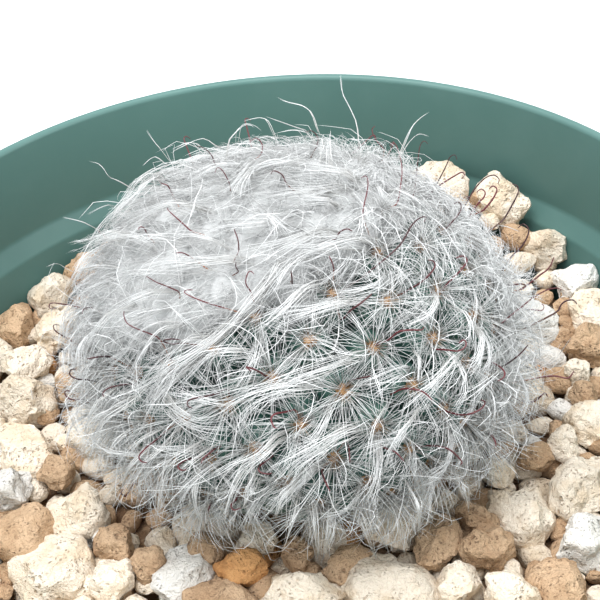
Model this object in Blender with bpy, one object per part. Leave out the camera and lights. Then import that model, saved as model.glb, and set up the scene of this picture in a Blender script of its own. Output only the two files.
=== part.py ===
"""Powder puff cactus in a plastic plant pot.

The globe-shaped stem stands in a plain hole in the gravel, and its root goes on
down into the potting mix. The spines are one connected net of needles that lies
just off the tips of the stem's tubercles.

Units are metres, +Z is up, and the origin is the centre of the pot's foot.
"""

import math
import random

import bmesh
import bpy
from mathutils import Matrix, Vector
from mathutils.geometry import delaunay_2d_cdt

MM = 0.001
GAP = 0.3 * MM                 # clearance between pieces that touch on the real thing
GOLDEN_ANGLE = math.pi * (3 - math.sqrt(5))

# Pot: a plant pot 105 mm across and 88 mm tall
ROUND_STEPS = 48
RIM_RADIUS = 52.5 * MM
POT_HEIGHT = 88.0 * MM
LIP_THICKNESS = 1.4 * MM
COLLAR_FLARE = 0.4 * MM        # how much the collar widens from its foot to the lip
COLLAR_HEIGHT = 16.1 * MM      # from the lip down to the inner foot of the shoulder
SHOULDER_HEIGHT = 2.4 * MM
SHOULDER_WIDTH = 1.8 * MM
WALL_THICKNESS = 1.2 * MM
FOOT_RADIUS = 36.4 * MM
FOOT_WIDTH = 2.6 * MM
FOOT_DRAFT = 0.4 * MM          # how much the foot's inner side leans in
FLOOR_RADIUS = 35.9 * MM       # inside, where the wall meets the floor
STEP_DEPTH = 0.7 * MM          # how far the step under the collar rises outwards
FLOOR_UNDERSIDE = 2.6 * MM
FLOOR_THICKNESS = 1.6 * MM
DRAIN_RADIUS = 4.4 * MM
DRAIN_COUNT = 6
DRAIN_CIRCLE = 22.0 * MM
DRAIN_SIDES = 12
NOTCH_COUNT = 4
NOTCH_SIZE = 6.0 * MM
NOTCH_HEIGHT = 1.5 * MM
SHARP_ANGLE = math.radians(35)

# Filling: potting mix below, and a top layer of gravel
SOIL_TOP = 55.7 * MM
GRAVEL_FLOOR = SOIL_TOP + GAP
GRAVEL_SPARE = 5.0 * MM        # how far the stones' sheet starts below the layer
STONE_TOP = 69.2 * MM          # usual height of a stone's top
STONE_HEIGHT = 3.6 * MM        # from there down to the corners between stones
STONE_RADIUS = (3.2 * MM, 4.3 * MM)
STONE_RISE = (0.0, 0.4)        # what a stone's top rises above the usual height, of its radius
STONE_SHOULDER = (0.62, 0.84)  # where its sides begin, of the way out from its middle
STONE_SLOPE = (0.5 * MM, 1.7 * MM)
STONE_LEAN = 1.0 * MM          # how far off its middle a stone's highest point may be
STONE_PLACES = 330
STONE_REACH = 60.0 * MM        # stones are laid out to beyond the wall, which then bounds them
STONE_OVERLAP = 0.86           # share of two radii that the middles of two stones keep apart
HEAP_PLACE = Vector((28.0, 37.0)) * MM
HEAP_HEIGHT = 9.0 * MM
HEAP_SPREAD = 13.0 * MM

# The largest stones on view: x, y and mean radius in mm
LANDMARK_STONES = (
    # before the cactus, from left to right
    (-30.7, -12.8, 3.3), (-24.7, -10.0, 3.7), (-27.2, -18.4, 4.8), (-20.2, -20.6, 2.7), (-20.3, -15.6, 2.5),
    (-16.3, -19.2, 2.3), (-12.6, -20.9, 3.3), (-9.8, -17.6, 2.4), (-8.6, -25.2, 4.0), (-6.2, -20.8, 2.4),
    (-4.6, -17.0, 2.3), (0.3, -19.4, 2.1), (-0.3, -24.9, 4.6), (5.2, -21.4, 2.4), (9.7, -24.9, 5.0),
    (15.2, -19.7, 2.9), (16.8, -25.3, 2.6), (20.2, -16.6, 2.3), (20.6, -21.2, 3.0), (21.6, -26.9, 2.9),
    (27.2, -26.3, 3.7), (31.2, -20.8, 3.7), (24.9, -15.6, 3.9),
    # at the right, from front to back
    (23.6, -10.0, 2.1), (28.4, -8.4, 2.1), (33.0, -12.6, 4.0), (32.2, -6.6, 2.2), (35.8, -3.2, 3.0),
    (36.4, 1.4, 2.2), (36.6, 5.6, 2.2), (39.2, 10.4, 2.9), (41.0, 17.0, 4.0), (40.2, 23.0, 3.3),
    (37.4, 28.4, 3.3), (32.1, 34.6, 4.1), (24.0, 39.6, 4.6),
    # at the left, from front to back
    (-28.0, -4.0, 2.2), (-33.4, -6.2, 3.4), (-32.6, 1.6, 4.0), (-27.6, 10.6, 2.6), (-33.4, 9.6, 3.9),
    (-34.4, 16.8, 3.4), (-31.2, 23.2, 2.8), (-37.4, 25.4, 3.2), (-33.0, 31.2, 3.4), (-28.4, 35.6, 2.4),
)

# Cactus: a globe 45 mm across the tips of its tubercles, about 57 mm with its hair
GLOBE_CENTRE = Vector((2.5, 1.0, 81.5)) * MM
TIP_RADIUS = 22.5 * MM
TIP_HEIGHT = 19.0 * MM
TUBERCLE_HEIGHT = 4.0 * MM
GLOBE_AREOLES = 200
SPIRAL_TURN = math.radians(330)  # where the areoles' spiral starts, which turns them all
FADE_START = math.radians(106)
FADE_END = math.radians(140)
SEAT_CLEARANCE = 0.6 * MM
ROOT_STEPS = 16
SEAT_STEPS = 32
SEAT_BOWL_STEPS = 6
SEAT_BOWL_TURN = math.radians(60)      # from the globe's widest place down to its neck
ROOT_OUTLINE = (               # radius and height from the globe's centre, in mm
    (9.2, -10), (9.6, -14), (8.6, -19), (6.6, -26), (4.2, -34), (1.8, -42),
)
ROOT_TIP = -44.0 * MM

# Spines: a small core on every areole, drawn out into needles
LAST_AREOLE_ANGLE = math.radians(107)
CORE_RADIUS = 0.6 * MM
NEEDLE_LENGTH = (4.8 * MM, 7.2 * MM)
COMB = Vector((-0.30, -0.16, -0.10))   # the way the hair is swept, as a share of its length
LEAST_NEEDLE_RISE = 0.2        # faces of a core that turn away less than this bear no needle
LEAST_RISE = 0.22              # a needle's slope away from the globe's surface
SPINE_FLOOR = 72.2 * MM        # needles end above the gravel
HOOK_EVERY = 4
HOOK_LENGTH = 5.4 * MM
HOOK_CURL_RADIUS = 0.9 * MM
HOOK_CURL_TURN = math.radians(150)
HOOK_CURL_STEPS = 3
HOOK_THICKNESS = 0.7           # share of the core's face that the hook keeps
LINK_THICKNESS = 0.55
STEPS_BACK = (1, 2, 3, 5, 8, 13, 21, 34)

SEED = 35


def clear_scene():
    for obj in list(bpy.data.objects):
        bpy.data.objects.remove(obj, do_unlink=True)


def add_object(name, mesh_data, collection=None):
    """Makes an object of a bmesh, which is freed."""
    mesh = bpy.data.meshes.new(name)
    mesh_data.to_mesh(mesh)
    mesh_data.free()
    obj = bpy.data.objects.new(name, mesh)
    (collection or bpy.context.scene.collection).objects.link(obj)
    return obj


def set_finish(obj, colour, roughness):
    """Gives an object its own material, the only one it keeps."""
    material = bpy.data.materials.new(obj.name)
    material.use_nodes = True
    shader = material.node_tree.nodes["Principled BSDF"]
    shader.inputs["Base Color"].default_value = (*colour, 1.0)
    shader.inputs["Roughness"].default_value = roughness
    shader.inputs["Metallic"].default_value = 0.0
    obj.data.materials.clear()
    obj.data.materials.append(material)


def apply_modifiers(obj):
    evaluated = obj.evaluated_get(bpy.context.evaluated_depsgraph_get())
    mesh = bpy.data.meshes.new_from_object(evaluated)
    obj.modifiers.clear()
    obj.data = mesh


def drop_scraps(obj):
    """Keeps the largest body: loose scraps go, and hollows that a join has sealed are filled."""
    bm = bmesh.new()
    bm.from_mesh(obj.data)
    left = set(bm.verts)
    bodies = []
    while left:
        body = set()
        edge_of_body = [left.pop()]
        while edge_of_body:
            vert = edge_of_body.pop()
            body.add(vert)
            near = {edge.other_vert(vert) for edge in vert.link_edges} & left
            left -= near
            edge_of_body.extend(near)
        bodies.append(body)
    bodies.sort(key=len)
    scraps = [vert for body in bodies[:-1] for vert in body]
    bmesh.ops.delete(bm, geom=scraps, context="VERTS")
    bm.to_mesh(obj.data)
    bm.free()


def turned(outline, steps):
    """Turns an outline of (radius, height) about Z: a closed one, or one from axis to axis."""
    bm = bmesh.new()
    verts = [bm.verts.new((radius, 0.0, height)) for radius, height in outline]
    pairs = list(zip(verts, verts[1:]))
    if outline[0][0] > 0.0:
        pairs.append((verts[-1], verts[0]))
    edges = [bm.edges.new(pair) for pair in pairs]
    bmesh.ops.spin(
        bm, geom=verts + edges, cent=(0, 0, 0), axis=(0, 0, 1),
        angle=2 * math.pi, steps=steps, use_merge=True,
    )
    bmesh.ops.remove_doubles(bm, verts=bm.verts, dist=0.001 * MM)
    bmesh.ops.recalc_face_normals(bm, faces=bm.faces)
    return bm


def cut(obj, cutter, operation="DIFFERENCE"):
    cutter.hide_render = True
    cutter.display_type = "WIRE"
    modifier = obj.modifiers.new("cut", "BOOLEAN")
    modifier.operation = operation
    modifier.object = cutter


def join_collection(name, objects):
    """Joins objects that cross one another into one closed body, and removes their collection."""
    body, *others = objects
    collection = others[0].users_collection[0]
    collection.objects.unlink(body)
    bpy.context.scene.collection.objects.link(body)
    body.name = name
    modifier = body.modifiers.new("join", "BOOLEAN")
    modifier.operation = "UNION"
    modifier.operand_type = "COLLECTION"
    modifier.collection = collection
    modifier.solver = "MANIFOLD"
    apply_modifiers(body)
    for obj in others:
        bpy.data.objects.remove(obj, do_unlink=True)
    bpy.data.collections.remove(collection)
    return body


def new_collection(name):
    collection = bpy.data.collections.new(name)
    bpy.context.scene.collection.children.link(collection)
    return collection


# Pot

def wall_radius(height):
    """Inner radius of the pot's wall below the shoulder, and straight up above it."""
    top_height = POT_HEIGHT - COLLAR_HEIGHT
    top_radius = RIM_RADIUS - LIP_THICKNESS - COLLAR_FLARE - SHOULDER_WIDTH
    floor_top = FLOOR_UNDERSIDE + FLOOR_THICKNESS
    share = (min(height, top_height) - floor_top) / (top_height - floor_top)
    return FLOOR_RADIUS + share * (top_radius - FLOOR_RADIUS)


def pot_outline():
    lip_middle = RIM_RADIUS - LIP_THICKNESS / 2
    lip_radius = LIP_THICKNESS / 2
    lip_low = POT_HEIGHT - lip_radius
    lip = [
        (lip_middle + lip_radius * math.cos(turn), lip_low + lip_radius * math.sin(turn))
        for turn in (math.pi * step / 4 for step in range(5))
    ]
    shoulder_low = POT_HEIGHT - COLLAR_HEIGHT
    collar_inside = RIM_RADIUS - LIP_THICKNESS - COLLAR_FLARE
    floor_top = FLOOR_UNDERSIDE + FLOOR_THICKNESS
    outside = [
        (FOOT_RADIUS - FOOT_WIDTH, 0.0),
        (FOOT_RADIUS, 0.0),
        (wall_radius(shoulder_low) + WALL_THICKNESS, shoulder_low - STEP_DEPTH),
        (RIM_RADIUS - COLLAR_FLARE, shoulder_low),
    ]
    inside = [
        (collar_inside, shoulder_low + SHOULDER_HEIGHT),
        (wall_radius(shoulder_low), shoulder_low),
        (wall_radius(floor_top), floor_top),
        (DRAIN_RADIUS, floor_top),
        (DRAIN_RADIUS, FLOOR_UNDERSIDE),
        (FOOT_RADIUS - FOOT_WIDTH - FOOT_DRAFT, FLOOR_UNDERSIDE),
    ]
    return outside + lip + inside


def drain_cutter():
    """A ring of drain holes and the notches in the foot that let the water away."""
    bm = bmesh.new()
    for index in range(DRAIN_COUNT):
        turn = 2 * math.pi * index / DRAIN_COUNT
        place = Vector((math.cos(turn), math.sin(turn), 0)) * DRAIN_CIRCLE
        place.z = FLOOR_UNDERSIDE + FLOOR_THICKNESS / 2
        bmesh.ops.create_cone(
            bm, cap_ends=True, segments=DRAIN_SIDES, radius1=DRAIN_RADIUS, radius2=DRAIN_RADIUS,
            depth=2 * FLOOR_THICKNESS, matrix=Matrix.Translation(place),
        )
    for index in range(NOTCH_COUNT):
        turn = 2 * math.pi * (index + 0.5) / NOTCH_COUNT
        place = Vector((FOOT_RADIUS - FOOT_WIDTH / 2, 0, 0))
        size = Matrix.Diagonal((2 * FOOT_WIDTH, NOTCH_SIZE, 2 * NOTCH_HEIGHT, 1))
        matrix = Matrix.Rotation(turn, 4, "Z") @ Matrix.Translation(place) @ size
        bmesh.ops.create_cube(bm, size=1.0, matrix=matrix)
    return add_object("drain_cutter", bm)


def make_pot():
    pot = add_object("pot", turned(pot_outline(), ROUND_STEPS))
    cut(pot, drain_cutter())
    pot.data.shade_smooth()
    pot.data.set_sharp_from_angle(angle=SHARP_ANGLE)
    set_finish(pot, (0.098, 0.196, 0.172), 0.42)


# Filling

def root_outline(grow=0.0):
    return [(radius * MM + grow, height * MM) for radius, height in ROOT_OUTLINE]


def seat_cutter():
    """The plain hole that the globe's underside, the neck and the root stand in."""
    wide = TIP_RADIUS + SEAT_CLEARANCE
    deep = TIP_HEIGHT + SEAT_CLEARANCE
    bowl = []
    for step in range(SEAT_BOWL_STEPS + 1):
        angle = math.pi / 2 + SEAT_BOWL_TURN * step / SEAT_BOWL_STEPS
        bowl.append((wide * math.sin(angle), deep * math.cos(angle)))
    neck = [point for point in root_outline(GAP) if point[1] < bowl[-1][1]]
    outline = [(0.0, TUBERCLE_HEIGHT), (wide, TUBERCLE_HEIGHT), *bowl, *neck, (0.0, ROOT_TIP - GAP)]
    cutter = add_object("seat_cutter", turned(outline, SEAT_STEPS))
    cutter.location = GLOBE_CENTRE
    return cutter


def filling_body(low, high):
    """A plug of the pot's inner shape, just clear of its wall."""
    outline = [
        (0.0, low),
        (wall_radius(low) - GAP, low),
        (wall_radius(high) - GAP, high),
        (0.0, high),
    ]
    return turned(outline, ROUND_STEPS)


def make_soil(cutter):
    floor = FLOOR_UNDERSIDE + FLOOR_THICKNESS + GAP
    soil = add_object("soil", filling_body(floor, SOIL_TOP))
    cut(soil, cutter)
    set_finish(soil, (0.070, 0.042, 0.026), 0.95)


def heap(x, y):
    """How much higher the gravel lies at a place: it is heaped against the wall at one side."""
    distance = (Vector((x, y)) - HEAP_PLACE).length
    return HEAP_HEIGHT * math.exp(-((distance / HEAP_SPREAD) ** 2))


def stone_places(rng):
    """The landmark stones, then a sunflower pattern of others wherever there is room."""
    places = [(x * MM, y * MM, radius * MM) for x, y, radius in LANDMARK_STONES]
    for index in range(STONE_PLACES):
        radius = rng.uniform(*STONE_RADIUS)
        distance = STONE_REACH * math.sqrt((index + 0.5) / STONE_PLACES)
        turn = index * GOLDEN_ANGLE
        x, y = distance * math.cos(turn), distance * math.sin(turn)
        if all(math.hypot(x - a, y - b) > STONE_OVERLAP * (radius + c) for a, b, c in places):
            places.append((x, y, radius))
    return places


def low_corner(places, triangle):
    """Where three stones meet, further from a large stone than from a small one."""
    shares = [1 / places[index][2] for index in triangle]
    x = sum(share * places[index][0] for share, index in zip(shares, triangle)) / sum(shares)
    y = sum(share * places[index][1] for share, index in zip(shares, triangle)) / sum(shares)
    return Vector((x, y, STONE_TOP - STONE_HEIGHT + heap(x, y)))


def stone_cells(places):
    """For each stone that others surround, the triples of stones that meet round it, in order."""
    points = [Vector((x, y)) for x, y, radius in places]
    triangles = delaunay_2d_cdt(points, [], [], 0, 0.001 * MM)[2]
    around = {index: [] for index in range(len(points))}
    for triangle in triangles:
        middle = sum((points[index] for index in triangle), Vector((0, 0))) / 3
        for index in triangle:
            way = middle - points[index]
            around[index].append((math.atan2(way.y, way.x), tuple(sorted(triangle))))
    for index, turns in around.items():
        neighbours = {other for turn, triple in turns for other in triple if other != index}
        if len(neighbours) == len(turns):
            yield index, [triple for turn, triple in sorted(turns)]


def stone_relief(rng):
    """A thick sheet whose top is a facetted lump for every stone."""
    places = stone_places(rng)
    bm = bmesh.new()
    corners = {}
    for index, triples in stone_cells(places):
        x, y, radius = places[index]
        for triple in triples:
            if triple not in corners:
                corners[triple] = bm.verts.new(low_corner(places, triple))
        low = [corners[triple] for triple in triples]
        rise = rng.uniform(*STONE_RISE) * radius
        middle = Vector((x, y, STONE_TOP + heap(x, y) + rise))
        lean = Vector((rng.uniform(-1, 1), rng.uniform(-1, 1), 0)) * STONE_LEAN
        tip = bm.verts.new(middle + lean)
        rim = []
        for vert in low:
            spot = middle.lerp(vert.co, rng.uniform(*STONE_SHOULDER))
            spot.z = middle.z - rng.uniform(*STONE_SLOPE)
            rim.append(bm.verts.new(spot))
        for here in range(len(low)):
            there = (here + 1) % len(low)
            bm.faces.new((low[here], low[there], rim[there], rim[here]))
            bm.faces.new((rim[here], rim[there], tip))
    border = [edge for edge in bm.edges if edge.is_boundary]
    drawn = bmesh.ops.extrude_edge_only(bm, edges=border)["geom"]
    for vert in drawn:
        if isinstance(vert, bmesh.types.BMVert):
            vert.co.z = SOIL_TOP - GRAVEL_SPARE
    bmesh.ops.holes_fill(bm, edges=[edge for edge in bm.edges if edge.is_boundary])
    bmesh.ops.triangulate(bm, faces=bm.faces)
    bmesh.ops.recalc_face_normals(bm, faces=bm.faces)
    return bm


def make_gravel(cutter):
    """The stones' relief, kept to the pot's inner shape, with the cactus's hole cut in it."""
    plug = add_object("gravel_plug", filling_body(GRAVEL_FLOOR, POT_HEIGHT))
    gravel = add_object("gravel", stone_relief(random.Random(SEED)))
    cut(gravel, plug, "INTERSECT")
    cut(gravel, cutter)
    apply_modifiers(gravel)
    drop_scraps(gravel)
    set_finish(gravel, (0.620, 0.470, 0.330), 0.9)


# Cactus

def lattice_direction(index):
    """Direction of an areole from the globe's centre: they follow one spiral from the crown."""
    height = 1 - 2 * (index + 0.5) / GLOBE_AREOLES
    across = math.sqrt(1 - height * height)
    turn = SPIRAL_TURN + index * GOLDEN_ANGLE
    return Vector((across * math.cos(turn), across * math.sin(turn), height))


def globe_point(direction, depth=0.0):
    wide = TIP_RADIUS - depth
    high = TIP_HEIGHT - depth
    return Vector((direction.x * wide, direction.y * wide, direction.z * high))


def globe_normal(direction):
    return Vector((
        direction.x / TIP_RADIUS, direction.y / TIP_RADIUS, direction.z / TIP_HEIGHT
    )).normalized()


def tubercle_height(direction):
    """Full height on the globe, fading to nothing at its underside."""
    angle = math.acos(direction.z)
    share = (FADE_END - angle) / (FADE_END - FADE_START)
    return TUBERCLE_HEIGHT * min(max(share, 0.0), 1.0)


def tubercled_globe():
    """One pointed tubercle an areole, between valleys that run midway between areoles."""
    hull = bmesh.new()
    for index in range(GLOBE_AREOLES):
        hull.verts.new(lattice_direction(index))
    bmesh.ops.convex_hull(hull, input=list(hull.verts))
    globe = bmesh.new()
    tips = {}
    for vert in hull.verts:
        sunk = TUBERCLE_HEIGHT - tubercle_height(vert.co)
        tips[vert] = globe.verts.new(globe_point(vert.co, sunk))
    valleys = {}
    for face in hull.faces:
        direction = face.calc_center_median().normalized()
        valleys[face] = globe.verts.new(globe_point(direction, TUBERCLE_HEIGHT))
    for edge in hull.edges:
        left, right = (valleys[face] for face in edge.link_faces)
        for vert in edge.verts:
            globe.faces.new((tips[vert], left, right))
    bmesh.ops.recalc_face_normals(globe, faces=globe.faces)
    hull.free()
    return globe


def make_stem(plant):
    collection = new_collection("stem_pieces")
    globe = add_object("globe", tubercled_globe(), collection)
    outline = [(0.0, ROOT_OUTLINE[0][1] * MM), *root_outline(), (0.0, ROOT_TIP)]
    root = add_object("root", turned(outline, ROOT_STEPS), collection)
    stem = join_collection("stem", [globe, root])
    stem.parent = plant
    set_finish(stem, (0.075, 0.150, 0.085), 0.55)


def core_position(index):
    """Middle of the core that sits just off the tip of a tubercle."""
    direction = lattice_direction(index)
    return globe_point(direction) + globe_normal(direction) * (GAP + CORE_RADIUS)


def sister(index):
    """The nearest areole of those nearer the crown."""
    middle = core_position(index)
    older = [index - step for step in STEPS_BACK if step <= index]
    return min(older, key=lambda other: (core_position(other) - middle).length)


def needle_tip(rng, middle, heading, outward):
    """End of a needle that is swept along with the rest of the hair and clears the gravel."""
    direction = (heading.normalized() + COMB).normalized()
    rise = direction.dot(outward)
    if rise < LEAST_RISE:
        direction = (direction + outward * (LEAST_RISE - rise)).normalized()
    tip = middle + direction * rng.uniform(*NEEDLE_LENGTH)
    place = tip + GLOBE_CENTRE
    tip.z = max(tip.z, SPINE_FLOOR + heap(place.x, place.y) - GLOBE_CENTRE.z)
    return tip


def draw_to_point(bm, face, tip):
    bmesh.ops.poke(bm, faces=[face])["verts"][0].co = tip


def draw_section(bm, face, middle, turn, scale):
    """Extrudes a face to a new middle, turned and scaled, and returns its new end."""
    old_middle = face.calc_center_median()
    end = bmesh.ops.extrude_discrete_faces(bm, faces=[face])["faces"][0]
    for vert in end.verts:
        vert.co = middle + turn @ (vert.co - old_middle) * scale
    return end


def draw_hook(bm, face, outward, side):
    """Draws a face out into a straight needle whose end curls over to one side."""
    base = face.calc_center_median()
    shaft_end = base + outward * HOOK_LENGTH
    straight = Matrix.Identity(3)
    face = draw_section(bm, face, shaft_end, straight, HOOK_THICKNESS)
    curl_middle = shaft_end + side * HOOK_CURL_RADIUS
    axis = outward.cross(side)
    for step in range(1, HOOK_CURL_STEPS + 1):
        turn = Matrix.Rotation(HOOK_CURL_TURN * step / HOOK_CURL_STEPS, 3, axis)
        place = curl_middle - turn @ side * HOOK_CURL_RADIUS
        if step == HOOK_CURL_STEPS:
            draw_to_point(bm, face, place)
        else:
            bend = Matrix.Rotation(HOOK_CURL_TURN / HOOK_CURL_STEPS, 3, axis)
            face = draw_section(bm, face, place, bend, 1.0)


def tuft(index, collection):
    """The needles of one areole, drawn out of a small core, one of them reaching its sister."""
    rng = random.Random(f"tuft {SEED} {index}")
    outward = globe_normal(lattice_direction(index))
    middle = core_position(index)
    bm = bmesh.new()
    bmesh.ops.create_icosphere(bm, subdivisions=1, radius=CORE_RADIUS)
    bm.faces.ensure_lookup_table()
    upright = bm.faces[0].normal.rotation_difference(outward).to_matrix().to_4x4()
    spin = Matrix.Rotation(rng.uniform(0, 2 * math.pi), 4, outward)
    bm.transform(Matrix.Translation(middle) @ spin @ upright)
    bm.normal_update()
    faces = list(bm.faces)
    if index > 0:
        goal = core_position(sister(index))
        way = (goal - middle).normalized()
        link = max(faces, key=lambda face: face.normal.dot(way))
        faces.remove(link)
        draw_section(bm, link, goal, Matrix.Identity(3), LINK_THICKNESS)
    crown = max(faces, key=lambda face: face.normal.dot(outward))
    for face in faces:
        height = face.normal.dot(outward)
        if face is crown and index % HOOK_EVERY == 0:
            side = outward.orthogonal().normalized()
            side = Matrix.Rotation(rng.uniform(0, 2 * math.pi), 3, outward) @ side
            draw_hook(bm, face, outward, side)
        elif height > LEAST_NEEDLE_RISE:
            draw_to_point(bm, face, needle_tip(rng, middle, face.normal.copy(), outward))
    return add_object("tuft", bm, collection)


def make_spines(plant):
    collection = new_collection("tufts")
    tufts = []
    for index in range(GLOBE_AREOLES):
        if math.acos(lattice_direction(index).z) < LAST_AREOLE_ANGLE:
            tufts.append(tuft(index, collection))
    spines = join_collection("spines", tufts)
    spines.parent = plant
    set_finish(spines, (0.760, 0.780, 0.770), 0.6)


def main():
    clear_scene()
    make_pot()
    cutter = seat_cutter()
    make_soil(cutter)
    make_gravel(cutter)
    plant = bpy.data.objects.new("plant", None)
    plant.location = GLOBE_CENTRE
    bpy.context.scene.collection.objects.link(plant)
    make_stem(plant)
    make_spines(plant)


main()
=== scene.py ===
"""The looks of the potted powder puff cactus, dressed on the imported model.

The pot, the gravel, the stem and the spines are modelled again in full detail where
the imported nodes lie. The potting mix keeps its node and gets a finish.
"""

import math
import random
from collections import namedtuple

import bmesh
import bpy
import numpy as np
from mathutils import Matrix, Vector


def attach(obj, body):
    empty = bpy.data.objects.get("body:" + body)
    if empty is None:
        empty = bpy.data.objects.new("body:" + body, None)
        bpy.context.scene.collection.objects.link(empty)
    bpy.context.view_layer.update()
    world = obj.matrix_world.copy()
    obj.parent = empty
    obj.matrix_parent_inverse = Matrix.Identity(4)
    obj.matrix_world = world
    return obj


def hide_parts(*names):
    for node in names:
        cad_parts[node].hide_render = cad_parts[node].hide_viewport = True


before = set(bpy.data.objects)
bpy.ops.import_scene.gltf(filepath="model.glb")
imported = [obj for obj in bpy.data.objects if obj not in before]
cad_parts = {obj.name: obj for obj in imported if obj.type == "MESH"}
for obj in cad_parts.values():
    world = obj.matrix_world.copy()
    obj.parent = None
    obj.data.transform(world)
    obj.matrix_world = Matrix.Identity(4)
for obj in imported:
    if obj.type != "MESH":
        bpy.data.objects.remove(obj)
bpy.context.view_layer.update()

MM = 0.001
GOLDEN_ANGLE = math.pi * (3 - math.sqrt(5))

# Camera: the view of the photograph, fitted to the pot's rim
VIEW_TARGET = Vector((2.684, 0.0, 87.455)) * MM
VIEW_DISTANCE = 133.547 * MM
VIEW_ELEVATION = math.radians(38.454)
VIEW_ROLL = -0.0856
VIEW_PIXELS = 600
LENS = 72.0
SENSOR = 36.0

# Pot
RIM_RADIUS = 52.5 * MM
POT_HEIGHT = 88.0 * MM
LIP_THICKNESS = 1.4 * MM
COLLAR_FLARE = 0.4 * MM
COLLAR_HEIGHT = 16.1 * MM
SHOULDER_HEIGHT = 2.4 * MM
SHOULDER_WIDTH = 1.8 * MM
WALL_THICKNESS = 1.2 * MM
FOOT_RADIUS = 36.4 * MM
FOOT_WIDTH = 2.6 * MM
FOOT_DRAFT = 0.4 * MM
FLOOR_RADIUS = 35.9 * MM
STEP_DEPTH = 0.7 * MM
FLOOR_UNDERSIDE = 2.6 * MM
FLOOR_TOP = 4.2 * MM
DRAIN_RADIUS = 4.4 * MM
DRAIN_COUNT = 6
DRAIN_CIRCLE = 22.0 * MM
NOTCH_COUNT = 4
NOTCH_SIZE = 6.0 * MM
NOTCH_HEIGHT = 1.5 * MM
LIP_ROUNDING = 0.49 * LIP_THICKNESS
SHARP_ROUNDING = 0.3 * MM
EDGE_ROUNDING = 0.6 * MM
INSIDE_ROUNDING = 1.4 * MM
POT_SIDES = 144
ARC_STEPS = 5
CUTTER_SIDES = 32
CUTTER_DEPTH = 6 * MM
POT_CREASE = math.radians(28)       # edges sharper than this stay sharp

# Gravel: the places follow the same rule, and the same draws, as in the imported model
SEED = 35
GRAVEL_FLOOR = 56.0 * MM
STONE_TOP = 69.2 * MM
STONE_RADIUS = (3.2 * MM, 4.3 * MM)
STONE_PLACES = 330
STONE_REACH = 60.0 * MM
STONE_OVERLAP = 0.86
HEAP_PLACE = Vector((28.0, 37.0)) * MM
HEAP_HEIGHT = 9.0 * MM
HEAP_SPREAD = 13.0 * MM
LANDMARK_STONES = (   # x, y and radius in mm, and kind, of the stones that the photograph shows
    (-30.7, -12.8, 3.3, "tan"), (-24.7, -10.0, 3.7, "cream"), (-27.2, -18.4, 4.8, "cream"),
    (-20.2, -20.6, 2.7, "cream"), (-20.3, -15.6, 2.5, "tan"), (-16.3, -19.2, 2.3, "tan"),
    (-12.6, -20.9, 3.3, "white"), (-9.8, -17.6, 2.4, "tan"), (-8.6, -25.2, 4.0, "tan"),
    (-6.2, -20.8, 2.4, "orange"), (-4.6, -17.0, 2.3, "cream"), (0.3, -19.4, 2.1, "tan"),
    (-0.3, -24.9, 4.6, "cream"), (5.2, -21.4, 2.4, "tan"), (9.7, -24.9, 5.0, "cream"),
    (15.2, -19.7, 2.9, "tan"), (16.8, -25.3, 2.6, "cream"), (20.2, -16.6, 2.3, "tan"),
    (20.6, -21.2, 3.0, "tan"), (21.6, -26.9, 2.9, "cream"), (27.2, -26.3, 3.7, "tan"),
    (31.2, -20.8, 3.7, "white"), (24.9, -15.6, 3.9, "cream"),
    (23.6, -10.0, 2.1, "cream"), (28.4, -8.4, 2.1, "tan"), (33.0, -12.6, 4.0, "cream"),
    (32.2, -6.6, 2.2, "cream"), (35.8, -3.2, 3.0, "cream"), (36.4, 1.4, 2.2, "tan"),
    (36.6, 5.6, 2.2, "cream"), (39.2, 10.4, 2.9, "tan"), (41.0, 17.0, 4.0, "cream"),
    (40.2, 23.0, 3.3, "white"), (37.4, 28.4, 3.3, "cream"), (32.1, 34.6, 4.1, "cream"),
    (24.0, 39.6, 4.6, "cream"),
    (-28.0, -4.0, 2.2, "tan"), (-33.4, -6.2, 3.4, "white"), (-32.6, 1.6, 4.0, "cream"),
    (-27.6, 10.6, 2.6, "tan"), (-33.4, 9.6, 3.9, "cream"), (-34.4, 16.8, 3.4, "cream"),
    (-31.2, 23.2, 2.8, "cream"), (-37.4, 25.4, 3.2, "tan"), (-33.0, 31.2, 3.4, "cream"),
    (-28.4, 35.6, 2.4, "tan"),
)
STONE_KINDS = ("cream", "tan", "white", "orange")
STONE_SHARES = (54, 36, 8, 2)
STONE_SHAPES = 9
STONE_DETAIL = 4
STONE_SIDES = 12
STONE_RELIEF = (("CLOUDS", 0.8, 0.30), ("VORONOI", 0.5, 0.26), ("CLOUDS", 0.2, 0.16))   # size, strength
STONE_SHADES = (0.9, 1.09)
STONE_FACES_AT = (0.6, 0.86)        # how far out a stone's flattened sides lie
STONE_STRETCH = (0.9, 1.28)
STONE_SWELL = 1.04                  # how much larger a stone is than its place
STONE_CREASE = math.radians(34)
STONE_FLATNESS = 0.84
STONE_RISE = (-0.1, 0.25)
STONE_CROWN = 0.7                   # how much of its radius has to pass under the globe
STONE_DROP = 0.5 * MM
WALL_SHARE = 0.35                   # how much of its radius its middle keeps off the wall
WALL_GAP = 0.15 * MM
STONE_SINK = 0.72       # how much of its radius a stone's middle lies under the top of the gravel
PEBBLE_DETAIL = 2
PEBBLE_PLACES = 620
PEBBLE_RADIUS = (1.5 * MM, 2.6 * MM)
PEBBLE_DEPTH = (3.0 * MM, 4.6 * MM)
FIRST_PEBBLE_SHAPE = 20             # so that no pebble has a stone's draws
BED_SIDES = 96
BED_DEPTH = 8 * MM
BED_GAP = 0.4 * MM
BED_RINGS = 6
BED_RING_WIDTH = 6 * MM
BED_CREASE = math.radians(40)
GLOBE_CLEARANCE = 0.6 * MM

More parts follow.
